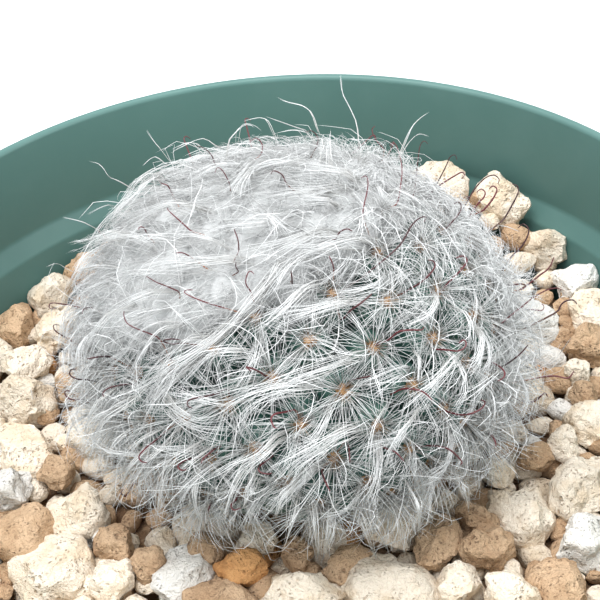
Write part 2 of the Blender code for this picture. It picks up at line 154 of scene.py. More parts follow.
# Cactus
GLOBE_CENTRE = Vector((2.5, 1.0, 81.5)) * MM
TIP_RADIUS = 22.5 * MM
TIP_HEIGHT = 19.0 * MM
TUBERCLE_HEIGHT = 4.0 * MM
TUBERCLE_WIDTH = 3.3 * MM
GLOBE_AREOLES = 200
SPIRAL_TURN = math.radians(330)
LAST_AREOLE_ANGLE = math.radians(107)
LAST_TUBERCLE_ANGLE = math.radians(125)
TUBERCLE_TIP = 1.5 * MM
TUBERCLE_ROUNDING = 0.8 * MM
TUBERCLE_BURIED = 1.5 * MM
ROOT_CAP = 0.9          # share of the globe's half height below which the root is drawn out
ROOT_FLATNESS = 0.6     # how much of its depth the drawn-out part keeps at each step
ROOT_STEPS = ((4, 1.05), (4, 0.92), (7, 0.78), (8, 0.66), (8, 0.5), (2, 0.2))   # drop in mm, narrowing
PAD_RADIUS = 0.72 * MM
PAD_FLATNESS = 0.6
PAD_RISE = 0.15 * MM
PAD_RELIEF = ("CLOUDS", 0.25 * MM, 0.35 * MM)


def srgb(red, green, blue):
    """Linear colour of an 8-bit sRGB one."""
    def linear(value):
        value /= 255
        return value / 12.92 if value <= 0.04045 else ((value + 0.055) / 1.055) ** 2.4
    return (linear(red), linear(green), linear(blue))


# Modelling helpers

def deselect_all():
    if bpy.context.mode != "OBJECT":
        bpy.ops.object.mode_set(mode="OBJECT")
    bpy.ops.object.select_all(action="DESELECT")


def begin(name, add, **settings):
    """Adds a primitive by itself and names it."""
    deselect_all()
    add(**settings)
    piece = bpy.context.object
    piece.name = name
    piece.data.name = name
    return piece


def only(piece):
    deselect_all()
    piece.select_set(True)
    bpy.context.view_layer.objects.active = piece


def settle(piece):
    """Puts a piece's place, turn and size into its mesh."""
    only(piece)
    bpy.ops.object.transform_apply(location=True, rotation=True, scale=True)


def apply_modifier(piece, kind, **settings):
    only(piece)
    modifier = piece.modifiers.new(kind.lower(), kind)
    for name, value in settings.items():
        setattr(modifier, name, value)
    bpy.ops.object.modifier_apply(modifier=modifier.name)


def displace(piece, kind, size, strength):
    """Gives a piece the relief of one of Blender's own textures."""
    texture = bpy.data.textures.new("relief", kind)
    texture.noise_scale = size
    apply_modifier(piece, "DISPLACE", texture=texture, strength=strength, mid_level=0.5)
    bpy.data.textures.remove(texture)


def random_way(rng):
    return Vector((rng.gauss(0, 1), rng.gauss(0, 1), rng.gauss(0, 1))).normalized()


def select_where(piece, test):
    """In edit mode, selects the vertices that pass a test, and what lies between them."""
    bpy.ops.mesh.select_mode(type="VERT")
    bpy.ops.mesh.select_all(action="DESELECT")
    bm = bmesh.from_edit_mesh(piece.data)
    for vert in bm.verts:
        vert.select_set(test(vert.co))
    bm.select_flush_mode()
    bmesh.update_edit_mesh(piece.data)


def placed_copies(shapes, name):
    """Joins copies of shapes, each with its own mesh, into one piece: (shape, matrix, values)."""
    copies = []
    for shape, matrix, values in shapes:
        mesh = shape.data.copy()
        mesh.transform(matrix)
        for key, value in values.items():
            layer = mesh.attributes.get(key) or mesh.attributes.new(key, "FLOAT", "POINT")
            layer.data.foreach_set("value", [value] * len(mesh.vertices))
        copy = bpy.data.objects.new(name, mesh)
        bpy.context.scene.collection.objects.link(copy)
        copies.append(copy)
    deselect_all()
    for copy in copies:
        copy.select_set(True)
    bpy.context.view_layer.objects.active = copies[0]
    bpy.ops.object.join()
    piece = bpy.context.object
    piece.name = name
    piece.data.name = name
    return piece


def remove(objects):
    for obj in objects:
        bpy.data.objects.remove(obj, do_unlink=True)


def finish(piece, material, slot, *nodes):
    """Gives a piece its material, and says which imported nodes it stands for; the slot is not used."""
    piece.data.materials.clear()
    piece.data.materials.append(material)
    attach(piece, "root")
    if nodes:
        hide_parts(*nodes)


# Shader helpers

def new_group(name, inputs, outputs):
    """A shader node group with named sockets; returns it with its ends."""
    tree = bpy.data.node_groups.new(name, "ShaderNodeTree")
    for socket, kind, value in inputs:
        made = tree.interface.new_socket(socket, in_out="INPUT", socket_type=kind)
        if value is not None:
            made.default_value = value
    for socket, kind in outputs:
        tree.interface.new_socket(socket, in_out="OUTPUT", socket_type=kind)
    return tree, tree.nodes.new("NodeGroupInput"), tree.nodes.new("NodeGroupOutput")


def math_node(tree, operation, first, second=None):
    node = tree.nodes.new("ShaderNodeMath")
    node.operation = operation
    for socket, value in zip(node.inputs, (first, second)):
        connect(tree, value, socket)
    return node.outputs[0]


def connect(tree, value, socket):
    """Links a socket to another, or sets its value."""
    if isinstance(value, bpy.types.NodeSocket):
        tree.links.new(value, socket)
    elif value is not None:
        socket.default_value = value


def noise_node(tree, vector, scale, detail=3.0, roughness=0.55):
    node = tree.nodes.new("ShaderNodeTexNoise")
    connect(tree, vector, node.inputs["Vector"])
    connect(tree, scale, node.inputs["Scale"])
    node.inputs["Detail"].default_value = detail
    node.inputs["Roughness"].default_value = roughness
    return node.outputs["Fac"]


def ramp(tree, value, low, high):
    """0 below low, 1 above high, smooth between."""
    node = tree.nodes.new("ShaderNodeMapRange")
    node.interpolation_type = "SMOOTHSTEP"
    connect(tree, value, node.inputs["Value"])
    connect(tree, low, node.inputs["From Min"])
    connect(tree, high, node.inputs["From Max"])
    return node.outputs["Result"]


def mix_colour(tree, share, first, second):
    node = tree.nodes.new("ShaderNodeMix")
    node.data_type = "RGBA"
    connect(tree, share, node.inputs["Factor"])
    for socket, value in ((node.inputs[6], first), (node.inputs[7], second)):
        connect(tree, (*value, 1.0) if isinstance(value, tuple) else value, socket)
    return node.outputs[2]


def use_group(tree, group, **values):
    node = tree.nodes.new("ShaderNodeGroup")
    node.node_tree = group
    for name, value in values.items():
        value = (*value, 1.0) if isinstance(value, tuple) else value
        connect(tree, value, node.inputs[name.replace("_", " ")])
    return node.outputs


def attribute(tree, name):
    node = tree.nodes.new("ShaderNodeAttribute")
    node.attribute_name = name
    return node.outputs["Fac"]


def object_coordinates(tree):
    return tree.nodes.new("ShaderNodeTexCoord").outputs["Object"]


def new_material(name, roughness):
    material = bpy.data.materials.new(name)
    material.use_nodes = True
    tree = material.node_tree
    shader = tree.nodes["Principled BSDF"]
    shader.inputs["Roughness"].default_value = roughness
    return material, tree, shader


def bump(tree, shader, height, distance, strength=1.0):
    node = tree.nodes.new("ShaderNodeBump")
    node.inputs["Strength"].default_value = strength
    node.inputs["Distance"].default_value = distance
    connect(tree, height, node.inputs["Height"])
    connect(tree, node.outputs["Normal"], shader.inputs["Normal"])


def mottle_group():
    """Soft patches of a second colour, broken up by a finer noise."""
    tree, start, end = new_group("mottle", [
        ("Vector", "NodeSocketVector", None),
        ("Base", "NodeSocketColor", (0.5, 0.5, 0.5, 1)),
        ("Patch", "NodeSocketColor", (0.4, 0.4, 0.4, 1)),
        ("Scale", "NodeSocketFloat", 300.0),
        ("Amount", "NodeSocketFloat", 0.5),
    ], [("Color", "NodeSocketColor"), ("Mask", "NodeSocketFloat")])
    coarse = noise_node(tree, start.outputs["Vector"], start.outputs["Scale"], detail=4.0, roughness=0.6)
    mask = ramp(tree, coarse, low=0.42, high=0.66)
    share = math_node(tree, "MULTIPLY", mask, start.outputs["Amount"])
    colour = mix_colour(tree, share, start.outputs["Base"], start.outputs["Patch"])
    connect(tree, colour, end.inputs["Color"])
    connect(tree, mask, end.inputs["Mask"])
    return tree


def pores_group():
    """The pores, ridges and grit of pumice: masks of small round pits and of grains, and a height."""
    warp_scale, warp_reach = 1500.0, 0.5 * MM
    pit_sizes = (1.0, 2.1)
    pit_floor = 0.35
    patch_scale, ridge_scale, grain_scale = 420.0, 900.0, 4200.0
    grain_height, ridge_height, pit_depth = 0.45, -2.4, 0.7
    tree, start, end = new_group("pores", [
        ("Vector", "NodeSocketVector", None),
        ("Scale", "NodeSocketFloat", 1400.0),
        ("Openness", "NodeSocketFloat", 0.32),
    ], [("Pits", "NodeSocketFloat"), ("Height", "NodeSocketFloat"), ("Grain", "NodeSocketFloat")])
    vector = start.outputs["Vector"]
    warp = tree.nodes.new("ShaderNodeTexNoise")
    connect(tree, vector, warp.inputs["Vector"])
    warp.inputs["Scale"].default_value = warp_scale
    shift = tree.nodes.new("ShaderNodeVectorMath")
    shift.operation = "MULTIPLY_ADD"
    connect(tree, warp.outputs["Color"], shift.inputs[0])
    shift.inputs[1].default_value = (warp_reach, warp_reach, warp_reach)
    connect(tree, vector, shift.inputs[2])
    pits = None
    for size in pit_sizes:
        cells = tree.nodes.new("ShaderNodeTexVoronoi")
        connect(tree, shift.outputs[0], cells.inputs["Vector"])
        connect(tree, math_node(tree, "MULTIPLY", start.outputs["Scale"], size), cells.inputs["Scale"])
        floor = math_node(tree, "MULTIPLY", start.outputs["Openness"], pit_floor)
        pit = ramp(tree, cells.outputs["Distance"], start.outputs["Openness"], floor)
        pits = pit if pits is None else math_node(tree, "MAXIMUM", pits, pit)
    patches = ramp(tree, noise_node(tree, vector, patch_scale, detail=3.0), low=0.42, high=0.62)
    pits = math_node(tree, "MULTIPLY", pits, patches)
    ridges = noise_node(tree, shift.outputs[0], ridge_scale, detail=3.0, roughness=0.6)
    ridges = math_node(tree, "ABSOLUTE", math_node(tree, "SUBTRACT", ridges, 0.5))
    grain = noise_node(tree, vector, grain_scale, detail=4.0, roughness=0.7)
    height = math_node(tree, "MULTIPLY", grain, grain_height)
    height = math_node(tree, "ADD", height, math_node(tree, "MULTIPLY", ridges, ridge_height))
    height = math_node(tree, "SUBTRACT", height, math_node(tree, "MULTIPLY", pits, pit_depth))
    for name, value in (("Pits", pits), ("Height", height), ("Grain", grain)):
        connect(tree, value, end.inputs[name])
    return tree


def fibre_group():
    """Colour along a hair or a spine, from its root to its tip, lighter or darker as a whole."""
    tree, start, end = new_group("fibre", [
        ("Root", "NodeSocketColor", (0.5, 0.3, 0.1, 1)),
        ("Tip", "NodeSocketColor", (0.9, 0.9, 0.9, 1)),
        ("Root End", "NodeSocketFloat", 0.1),
        ("Tip Start", "NodeSocketFloat", 0.25),
        ("Spread", "NodeSocketFloat", 0.2),
    ], [("Color", "NodeSocketColor"), ("Along", "NodeSocketFloat")])
    along = attribute(tree, "along")
    tone = attribute(tree, "tone")
    share = ramp(tree, along, start.outputs["Root End"], start.outputs["Tip Start"])
    colour = mix_colour(tree, share, start.outputs["Root"], start.outputs["Tip"])
    dim = math_node(tree, "MULTIPLY", tone, start.outputs["Spread"])
    value = tree.nodes.new("ShaderNodeHueSaturation")
    connect(tree, math_node(tree, "SUBTRACT", 1.0, dim), value.inputs["Value"])
    connect(tree, colour, value.inputs["Color"])
    connect(tree, value.outputs["Color"], end.inputs["Color"])
    connect(tree, along, end.inputs["Along"])
    return tree


MOTTLE = mottle_group()
PORES = pores_group()
FIBRE = fibre_group()


# Materials

def mottled_material(name, roughness, base, patch, scale, amount):
    """A material whose colour goes over into another in soft patches; returns it with its parts."""
    material, tree, shader = new_material(name, roughness)
    place = object_coordinates(tree)
    body = use_group(tree, MOTTLE, Vector=place, Base=base, Patch=patch, Scale=scale, Amount=amount)
    connect(tree, body["Color"], shader.inputs["Base Color"])
    return material, tree, shader, place, body


def pot_plastic():
    """Moulded satin plastic: even colour, a faint bloom of dust and very fine scuffs."""
    material, tree, shader, place, _ = mottled_material(
        "pot_plastic", 0.42, srgb(78, 112, 107), srgb(86, 119, 114), scale=60.0, amount=0.55)
    scuffs = noise_node(tree, place, 700.0, detail=6.0, roughness=0.7)
    rough = tree.nodes.new("ShaderNodeMapRange")
    connect(tree, scuffs, rough.inputs["Value"])
    rough.inputs["To Min"].default_value = 0.34
    rough.inputs["To Max"].default_value = 0.52
    connect(tree, rough.outputs["Result"], shader.inputs["Roughness"])
    bump(tree, shader, scuffs, 0.02 * MM, strength=0.5)
    shader.inputs["Specular IOR Level"].default_value = 0.3
    return material


def crumbs(name, base, patch, scale, amount, depth):
    """Dull crumbs in two colours, as high as they are light."""
    material, tree, shader, _, body = mottled_material(name, 0.95, base, patch, scale, amount)
    bump(tree, shader, body["Mask"], depth)
    return material


STONE_LOOKS = {   # two body colours, the colour of the painted shade in the pores and of the grains, share of the second, how open, how speckled
    "cream": (srgb(242, 230, 212), srgb(222, 201, 172), srgb(186, 155, 120), 0.8, 0.30, 0.3),
    "white": (srgb(238, 235, 229), srgb(220, 215, 206), srgb(160, 150, 136), 0.7, 0.30, 0.2),
    "tan": (srgb(206, 175, 142), srgb(180, 147, 114), srgb(134, 102, 74), 0.85, 0.32, 0.6),
    "orange": (srgb(210, 158, 104), srgb(184, 128, 76), srgb(132, 84, 48), 0.85, 0.26, 0.3),
}


def stone_material(name, base, patch, pit, amount, openness, speckle):
    """Porous stone: two body colours, painted shade in the pores, darker grains, and each stone its own
    tone.
    """
    material, tree, shader, place, body = mottled_material(name, 0.92, base, patch, 260.0, amount)
    pores = use_group(tree, PORES, Vector=place, Scale=1000.0, Openness=openness)
    grains = math_node(tree, "MULTIPLY", ramp(tree, pores["Grain"], 0.52, 0.30), speckle)
    # the pores get the third colour as painted shade in their hollows; the grains get it as their own
    # speckle
    share = math_node(tree, "MAXIMUM", math_node(tree, "MULTIPLY", pores["Pits"], 0.7), grains)
    tone = tree.nodes.new("ShaderNodeHueSaturation")
    connect(tree, mix_colour(tree, share, body["Color"], pit), tone.inputs["Color"])
    connect(tree, attribute(tree, "shade"), tone.inputs["Value"])
    connect(tree, tone.outputs["Color"], shader.inputs["Base Color"])
    bump(tree, shader, pores["Height"], 0.42 * MM)
    return material


def cactus_skin():
    """Dark green skin with tiny pale flecks, lighter in soft patches."""
    material, tree, shader, place, body = mottled_material(
        "cactus_skin", 0.5, srgb(50, 88, 80), srgb(76, 114, 100), scale=500.0, amount=0.8)
    flecks = ramp(tree, noise_node(tree, place, 5200.0, detail=1.0), low=0.66, high=0.74)
    share = math_node(tree, "MULTIPLY", flecks, 0.45)
    colour = mix_colour(tree, share, body["Color"], srgb(190, 205, 180))
    connect(tree, colour, shader.inputs["Base Color"])
    shader.inputs["Subsurface Weight"].default_value = 0.1
    shader.inputs["Subsurface Radius"].default_value = (0.6 * MM, 1.0 * MM, 0.4 * MM)
    shader.inputs["Subsurface Scale"].default_value = 1.0
    bump(tree, shader, noise_node(tree, place, 2600.0, detail=3.0), 0.06 * MM)
    return material


def wool_material(name, roughness, base, patch, scale, strand_scale, strand_detail, depth):
    """Matted wool in two shades, with soft strands in it."""
    material, tree, shader, place, _ = mottled_material(name, roughness, base, patch, scale, 0.8)
    strands = noise_node(tree, place, strand_scale, strand_detail, roughness=0.7)
    bump(tree, shader, strands, depth)
    return material


def areole_wool():
    """The amber wool of the areoles."""
    return wool_material("areole_wool", 0.9, srgb(180, 142, 100), srgb(128, 92, 62), scale=2600.0,
                         strand_scale=6000.0, strand_detail=4.0, depth=0.1 * MM)


def felted_wool_painted_shade():
    """The matted undercoat, in light greys that are painted shade of the deep wool under the white hair.
    """
    return wool_material("felted_wool_painted_shade", 0.8, srgb(184, 186, 186), srgb(162, 165, 165), scale=700.0,
                         strand_scale=3200.0, strand_detail=5.0, depth=0.15 * MM)


def spine_material(name, roughness, specular, **colours):
    """A spine or a hair whose colour goes from its root to its tip, each with its own tone."""
    material, tree, shader = new_material(name, roughness)
    spine = use_group(tree, FIBRE, **colours)
    connect(tree, spine["Color"], shader.inputs["Base Color"])
    shader.inputs["Specular IOR Level"].default_value = specular
    return material


def silky_hair(name, root, tip, spread):
    return spine_material(name, 0.5, 0.3, Root=root, Tip=tip, Root_End=0.1, Tip_Start=0.5, Spread=spread)


def radial_white():
    """Radial spines: amber at the root, then glassy white."""
    return spine_material("radial_white", 0.4, 0.35, Root=srgb(186, 150, 108), Tip=srgb(234, 238, 237),
                          Root_End=0.06, Tip_Start=0.23, Spread=0.55)


def hook_brown():
    """Hooked spines: amber at the root, red-brown or nearly black along the shaft and the curl."""
    return spine_material("hook_brown", 0.36, 0.5, Root=srgb(176, 122, 84), Tip=srgb(98, 38, 44),
                          Root_End=0.02, Tip_Start=0.16, Spread=0.75)


# Pot

def wall_radius(height):
    """Inner radius of the pot's wall below the shoulder, and straight up above it."""
    top_height = POT_HEIGHT - COLLAR_HEIGHT
    top_radius = RIM_RADIUS - LIP_THICKNESS - COLLAR_FLARE - SHOULDER_WIDTH
    share = (min(height, top_height) - FLOOR_TOP) / (top_height - FLOOR_TOP)
    return FLOOR_RADIUS + share * (top_radius - FLOOR_RADIUS)


def rounded(corners):
    """An outline through corners of (radius, height, fillet), each corner an arc."""
    outline = []
    for index, (*corner, fillet) in enumerate(corners):
        corner = Vector(corner)
        before = (Vector(corners[index - 1][:2]) - corner).normalized()
        after = (Vector(corners[(index + 1) % len(corners)][:2]) - corner).normalized()
        half = before.angle(after) / 2
        reach = fillet / math.tan(half)
        middle = corner + (before + after).normalized() * (fillet / math.sin(half))
        first = corner + before * reach - middle
        last = corner + after * reach - middle
        sweep = first.angle_signed(last)
        for step in range(ARC_STEPS + 1):
            turn = Matrix.Rotation(-sweep * step / ARC_STEPS, 2)
            outline.append(middle + turn @ first)
    return outline


def pot_outline():
    """The outline of the pot's wall and floor, from the edge of the drain holes round to it again."""
    shoulder = POT_HEIGHT - COLLAR_HEIGHT
    collar_inside = RIM_RADIUS - LIP_THICKNESS - COLLAR_FLARE
    return rounded([
        (DRAIN_RADIUS, FLOOR_UNDERSIDE, SHARP_ROUNDING),
        (FOOT_RADIUS - FOOT_WIDTH - FOOT_DRAFT, FLOOR_UNDERSIDE, 0.8 * MM),
        (FOOT_RADIUS - FOOT_WIDTH, 0.0, 0.5 * MM),
        (FOOT_RADIUS, 0.0, 0.7 * MM),
        (wall_radius(shoulder) + WALL_THICKNESS, shoulder - STEP_DEPTH, 0.5 * MM),
        (RIM_RADIUS - COLLAR_FLARE, shoulder, EDGE_ROUNDING),
        (RIM_RADIUS, POT_HEIGHT, LIP_ROUNDING),
        (RIM_RADIUS - LIP_THICKNESS, POT_HEIGHT, LIP_ROUNDING),
        (collar_inside, shoulder + SHOULDER_HEIGHT, INSIDE_ROUNDING),
        (wall_radius(shoulder), shoulder, INSIDE_ROUNDING),
        (FLOOR_RADIUS, FLOOR_TOP, 1.2 * MM),
        (DRAIN_RADIUS, FLOOR_TOP, SHARP_ROUNDING),
    ])


def make_pot():
    """A ring drawn along the wall's outline by extruding and resizing, closed by a bridge."""
    outline = pot_outline()
    radius, height = outline[0]
    pot = begin("pot_shell", bpy.ops.mesh.primitive_circle_add, vertices=POT_SIDES, radius=radius,
                location=(0, 0, height))
    settle(pot)
    bpy.ops.object.mode_set(mode="EDIT")
    bpy.ops.mesh.select_all(action="SELECT")
    for next_radius, next_height in outline[1:]:
        lift = {"value": (0, 0, next_height - height)}
        bpy.ops.mesh.extrude_region_move(TRANSFORM_OT_translate=lift)
        scale = next_radius / radius
        bpy.ops.transform.resize(value=(scale, scale, 1), center_override=(0, 0, next_height))
        radius, height = next_radius, next_height
    bpy.ops.mesh.select_all(action="DESELECT")
    bpy.ops.mesh.select_non_manifold()
    bpy.ops.mesh.bridge_edge_loops()
    bpy.ops.mesh.select_all(action="SELECT")
    bpy.ops.mesh.normals_make_consistent(inside=False)
    bpy.ops.object.mode_set(mode="OBJECT")
    cutters = []
    for index in range(DRAIN_COUNT):
        turn = 2 * math.pi * index / DRAIN_COUNT
        place = (DRAIN_CIRCLE * math.cos(turn), DRAIN_CIRCLE * math.sin(turn), FLOOR_UNDERSIDE)
        cutters.append(begin("drain", bpy.ops.mesh.primitive_cylinder_add, vertices=CUTTER_SIDES,
                             radius=DRAIN_RADIUS, depth=CUTTER_DEPTH, location=place))
    for index in range(NOTCH_COUNT):
        turn = 2 * math.pi * (index + 0.5) / NOTCH_COUNT
        reach = FOOT_RADIUS - FOOT_WIDTH / 2
        place = (reach * math.cos(turn), reach * math.sin(turn), 0)
        cutters.append(begin("notch", bpy.ops.mesh.primitive_cube_add, size=1, location=place,
                             rotation=(0, 0, turn), scale=(2 * FOOT_WIDTH, NOTCH_SIZE, 2 * NOTCH_HEIGHT)))
    for cutter in cutters:
        apply_modifier(pot, "BOOLEAN", operation="DIFFERENCE", object=cutter)
    remove(cutters)
    only(pot)
    bpy.ops.object.shade_smooth_by_angle(angle=POT_CREASE)
    finish(pot, pot_plastic(), "pot", "pot")


# Gravel

def heap(x, y):
    distance = (Vector((x, y)) - HEAP_PLACE).length
    return HEAP_HEIGHT * math.exp(-((distance / HEAP_SPREAD) ** 2))


def stone_places(rng):
    """Place, radius and kind of every stone: the landmarks, then a sunflower pattern."""
    places = [(x * MM, y * MM, radius * MM, kind) for x, y, radius, kind in LANDMARK_STONES]
    kinds = random.Random(SEED + 1)
    for index in range(STONE_PLACES):
        radius = rng.uniform(*STONE_RADIUS)
        distance = STONE_REACH * math.sqrt((index + 0.5) / STONE_PLACES)
        turn = index * GOLDEN_ANGLE
        x, y = distance * math.cos(turn), distance * math.sin(turn)
        if all(math.hypot(x - a, y - b) > STONE_OVERLAP * (radius + c) for a, b, c, kind in places):
            places.append((x, y, radius, kinds.choices(STONE_KINDS, STONE_SHARES)[0]))
    return places


def stone_shape(index, detail):
    """An angular, worn lump: a ball with flattened sides, then lumps, hollows and grit."""
    rng = random.Random(f"stone {SEED} {index}")
    stone = begin("stone_shape", bpy.ops.mesh.primitive_ico_sphere_add, subdivisions=detail, radius=1)
    bpy.ops.object.mode_set(mode="EDIT")
    bm = bmesh.from_edit_mesh(stone.data)
    for side in range(STONE_SIDES):
        way = random_way(rng)
        level = rng.uniform(*STONE_FACES_AT)
        for vert in bm.verts:
            over = vert.co.dot(way) - level
            if over > 0:
                vert.co -= way * over * 0.96
    bmesh.update_edit_mesh(stone.data)
    bpy.ops.mesh.select_all(action="SELECT")
    stretch = [rng.uniform(*STONE_STRETCH) for axis in range(3)]
    bpy.ops.transform.resize(value=stretch, center_override=(0, 0, 0))
    own_relief = Vector((index * 5, 0, 0))
    bpy.ops.transform.translate(value=own_relief)
    bpy.ops.object.mode_set(mode="OBJECT")
    for kind, size, strength in STONE_RELIEF:
        displace(stone, kind, size, strength)
        if kind == "VORONOI":
            apply_modifier(stone, "SMOOTH", factor=0.5, iterations=2)
    stone.data.transform(Matrix.Translation(-own_relief))
    only(stone)
    bpy.ops.object.shade_smooth_by_angle(angle=STONE_CREASE)
    return stone


def keep_inside(mesh, low):
    """Flattens what would cross the pot's wall against it, and what would reach the mix."""
    for vert in mesh.vertices:
        limit = wall_radius(vert.co.z) - WALL_GAP
        reach = math.hypot(vert.co.x, vert.co.y)
        if reach > limit:
            vert.co.x *= limit / reach
            vert.co.y *= limit / reach
        vert.co.z = max(vert.co.z, low)


def clears_globe(x, y, top):
    """Whether a stone's top at a place stays under the globe."""
    reach = math.hypot(x - GLOBE_CENTRE.x, y - GLOBE_CENTRE.y) / (TIP_RADIUS + GLOBE_CLEARANCE)
    if reach >= 1:
        return True
    under = GLOBE_CENTRE.z - (TIP_HEIGHT + GLOBE_CLEARANCE) * math.sqrt(1 - reach * reach)
    return top < under


def make_gravel():
    """Loose stones of four kinds over smaller ones that fill the gaps, on a bed of fines."""
    rng = random.Random(SEED)
    places = stone_places(rng)
    stones = [stone_shape(index, STONE_DETAIL) for index in range(STONE_SHAPES)]
    pebbles = [stone_shape(FIRST_PEBBLE_SHAPE + index, PEBBLE_DETAIL) for index in range(STONE_SHAPES)]
    by_kind = {kind: [] for kind in STONE_KINDS}
    turns = random.Random(SEED + 2)

    def put(shape, x, y, z, radius, kind):
        turn = Matrix.Rotation(turns.uniform(0, 2 * math.pi), 4, "Z")
        tip = Matrix.Rotation(turns.uniform(0, math.pi), 4, "X")
        flat = Matrix.Diagonal((1, 1, STONE_FLATNESS, 1))
        matrix = Matrix.Translation((x, y, z)) @ turn @ flat @ tip @ Matrix.Scale(radius, 4)
        by_kind[kind].append((shape, matrix, {"shade": turns.uniform(*STONE_SHADES)}))

    wall = wall_radius(STONE_TOP)
    for number, (x, y, radius, kind) in enumerate(places):
        if number >= len(LANDMARK_STONES) and math.hypot(x, y) > wall - WALL_SHARE * radius:
            continue
        rise = turns.uniform(*STONE_RISE) * radius
        z = STONE_TOP + heap(x, y) + rise - radius * STONE_SINK
        drop = 0.0
        while not clears_globe(x, y, z + radius * STONE_CROWN - drop):
            drop += STONE_DROP
        put(turns.choice(stones), x, y, z - drop, radius * STONE_SWELL, kind)
    for index in range(PEBBLE_PLACES):
        reach = (wall - PEBBLE_RADIUS[0]) * math.sqrt((index + 0.5) / PEBBLE_PLACES)
        turn = index * GOLDEN_ANGLE + 1.0
        x, y = reach * math.cos(turn), reach * math.sin(turn)
        radius = turns.uniform(*PEBBLE_RADIUS)
        z = STONE_TOP + heap(x, y) - turns.uniform(*PEBBLE_DEPTH)
        if clears_globe(x, y, z + radius):
            kind = turns.choices(STONE_KINDS, STONE_SHARES)[0]
            put(turns.choice(pebbles), x, y, z, radius, kind)
    for kind, shapes in by_kind.items():
        piece = placed_copies(shapes, f"stones_{kind}")
        keep_inside(piece.data, GRAVEL_FLOOR)
        finish(piece, stone_material(f"{kind}_stone", *STONE_LOOKS[kind]), f"{kind}_stone", "gravel")
    remove(stones + pebbles)


def make_bed():
    """The shaded fines between the stones: a disk whose top has rings of faces."""
    bed = begin("gravel_bed", bpy.ops.mesh.primitive_cylinder_add, vertices=BED_SIDES,
                radius=1, depth=1, location=(0, 0, 0), end_fill_type="NGON")
    radius = wall_radius(GRAVEL_FLOOR) - BED_GAP
    middle = GRAVEL_FLOOR + BED_DEPTH / 2
    bed.data.transform(Matrix.Diagonal((radius, radius, BED_DEPTH, 1)))
    bed.data.transform(Matrix.Translation((0, 0, middle)))
    bpy.ops.object.mode_set(mode="EDIT")
    select_where(bed, lambda co: co.z > middle)
    for ring in range(BED_RINGS):
        bpy.ops.mesh.inset(thickness=BED_RING_WIDTH)
    bpy.ops.object.mode_set(mode="OBJECT")
    only(bed)
    bpy.ops.object.shade_smooth_by_angle(angle=BED_CREASE)
    fines = crumbs("gravel_fines", srgb(120, 92, 68), srgb(176, 146, 114), scale=800.0, amount=0.8,
                   depth=0.5 * MM)
    finish(bed, fines, "gravel", "gravel")


def dress_soil():
    """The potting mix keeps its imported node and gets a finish."""
    mix = crumbs("potting_mix", srgb(58, 43, 33), srgb(112, 88, 66), scale=900.0, amount=0.7,
                 depth=0.6 * MM)
    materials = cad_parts["soil"].data.materials
    materials.clear()
    materials.append(mix)


# Stem

def lattice_direction(index):
    height = 1 - 2 * (index + 0.5) / GLOBE_AREOLES
    across = math.sqrt(1 - height * height)
    turn = SPIRAL_TURN + index * GOLDEN_ANGLE
    return Vector((across * math.cos(turn), across * math.sin(turn), height))


def globe_point(direction, rise=0.0):
    wide, high = TIP_RADIUS + rise, TIP_HEIGHT + rise
    return GLOBE_CENTRE + Vector((direction.x * wide, direction.y * wide, direction.z * high))


def globe_normal(direction):
    return Vector((
        direction.x / TIP_RADIUS, direction.y / TIP_RADIUS, direction.z / TIP_HEIGHT
    )).normalized()


def upright_at(point, normal, spin):
    """Matrix that stands a shape modelled along +Z at a point, along a normal."""
    turn = Vector((0, 0, 1)).rotation_difference(normal).to_matrix().to_4x4()
    return Matrix.Translation(point) @ turn @ Matrix.Rotation(spin, 4, "Z")


def areole_indices(last_angle=LAST_AREOLE_ANGLE):
    return [k for k in range(GLOBE_AREOLES) if math.acos(lattice_direction(k).z) < last_angle]


def tubercle_shape():
    """A blunt cone with a rounded shoulder, from its buried base to its tip at 0."""
    length = TUBERCLE_HEIGHT + TUBERCLE_BURIED
    tubercle = begin("tubercle_shape", bpy.ops.mesh.primitive_cone_add, vertices=12,
                     radius1=TUBERCLE_WIDTH, radius2=TUBERCLE_TIP, depth=length,
                     location=(0, 0, -length / 2))
    settle(tubercle)
    bpy.ops.object.mode_set(mode="EDIT")
    select_where(tubercle, lambda co: co.z > -length / 2)
    bpy.ops.mesh.bevel(offset=TUBERCLE_ROUNDING, segments=3, affect="EDGES")
    bpy.ops.object.mode_set(mode="OBJECT")
    tubercle.data.shade_smooth()
    return tubercle


def make_stem():
    """The globe with its tubercles, drawn out below into the root's neck and the root."""
    globe = begin("stem_body", bpy.ops.mesh.primitive_uv_sphere_add, segments=64, ring_count=40, radius=1)
    inner_radius = TIP_RADIUS - TUBERCLE_HEIGHT
    inner_height = TIP_HEIGHT - TUBERCLE_HEIGHT
    globe.data.transform(Matrix.Diagonal((inner_radius, inner_radius, inner_height, 1)))
    bpy.ops.object.mode_set(mode="EDIT")
    select_where(globe, lambda co: co.z < -inner_height * ROOT_CAP)
    for drop, narrowing in ROOT_STEPS:
        middle = (0, 0, -inner_height - drop * MM)
        bpy.ops.mesh.extrude_region_move(TRANSFORM_OT_translate={"value": (0, 0, -drop * MM)})
        bpy.ops.transform.resize(value=(narrowing, narrowing, ROOT_FLATNESS), center_override=middle)
    bpy.ops.object.mode_set(mode="OBJECT")
    globe.data.transform(Matrix.Translation(GLOBE_CENTRE))
    tubercle = tubercle_shape()
    shapes = [(globe, Matrix.Identity(4), {})]
    for index in areole_indices(LAST_TUBERCLE_ANGLE):
        direction = lattice_direction(index)
        matrix = upright_at(globe_point(direction), globe_normal(direction), index * GOLDEN_ANGLE)
        shapes.append((tubercle, matrix, {}))
    stem = placed_copies(shapes, "stem_skin")
    stem.data.shade_smooth()
    remove([globe, tubercle])
    finish(stem, cactus_skin(), "stem", "stem")


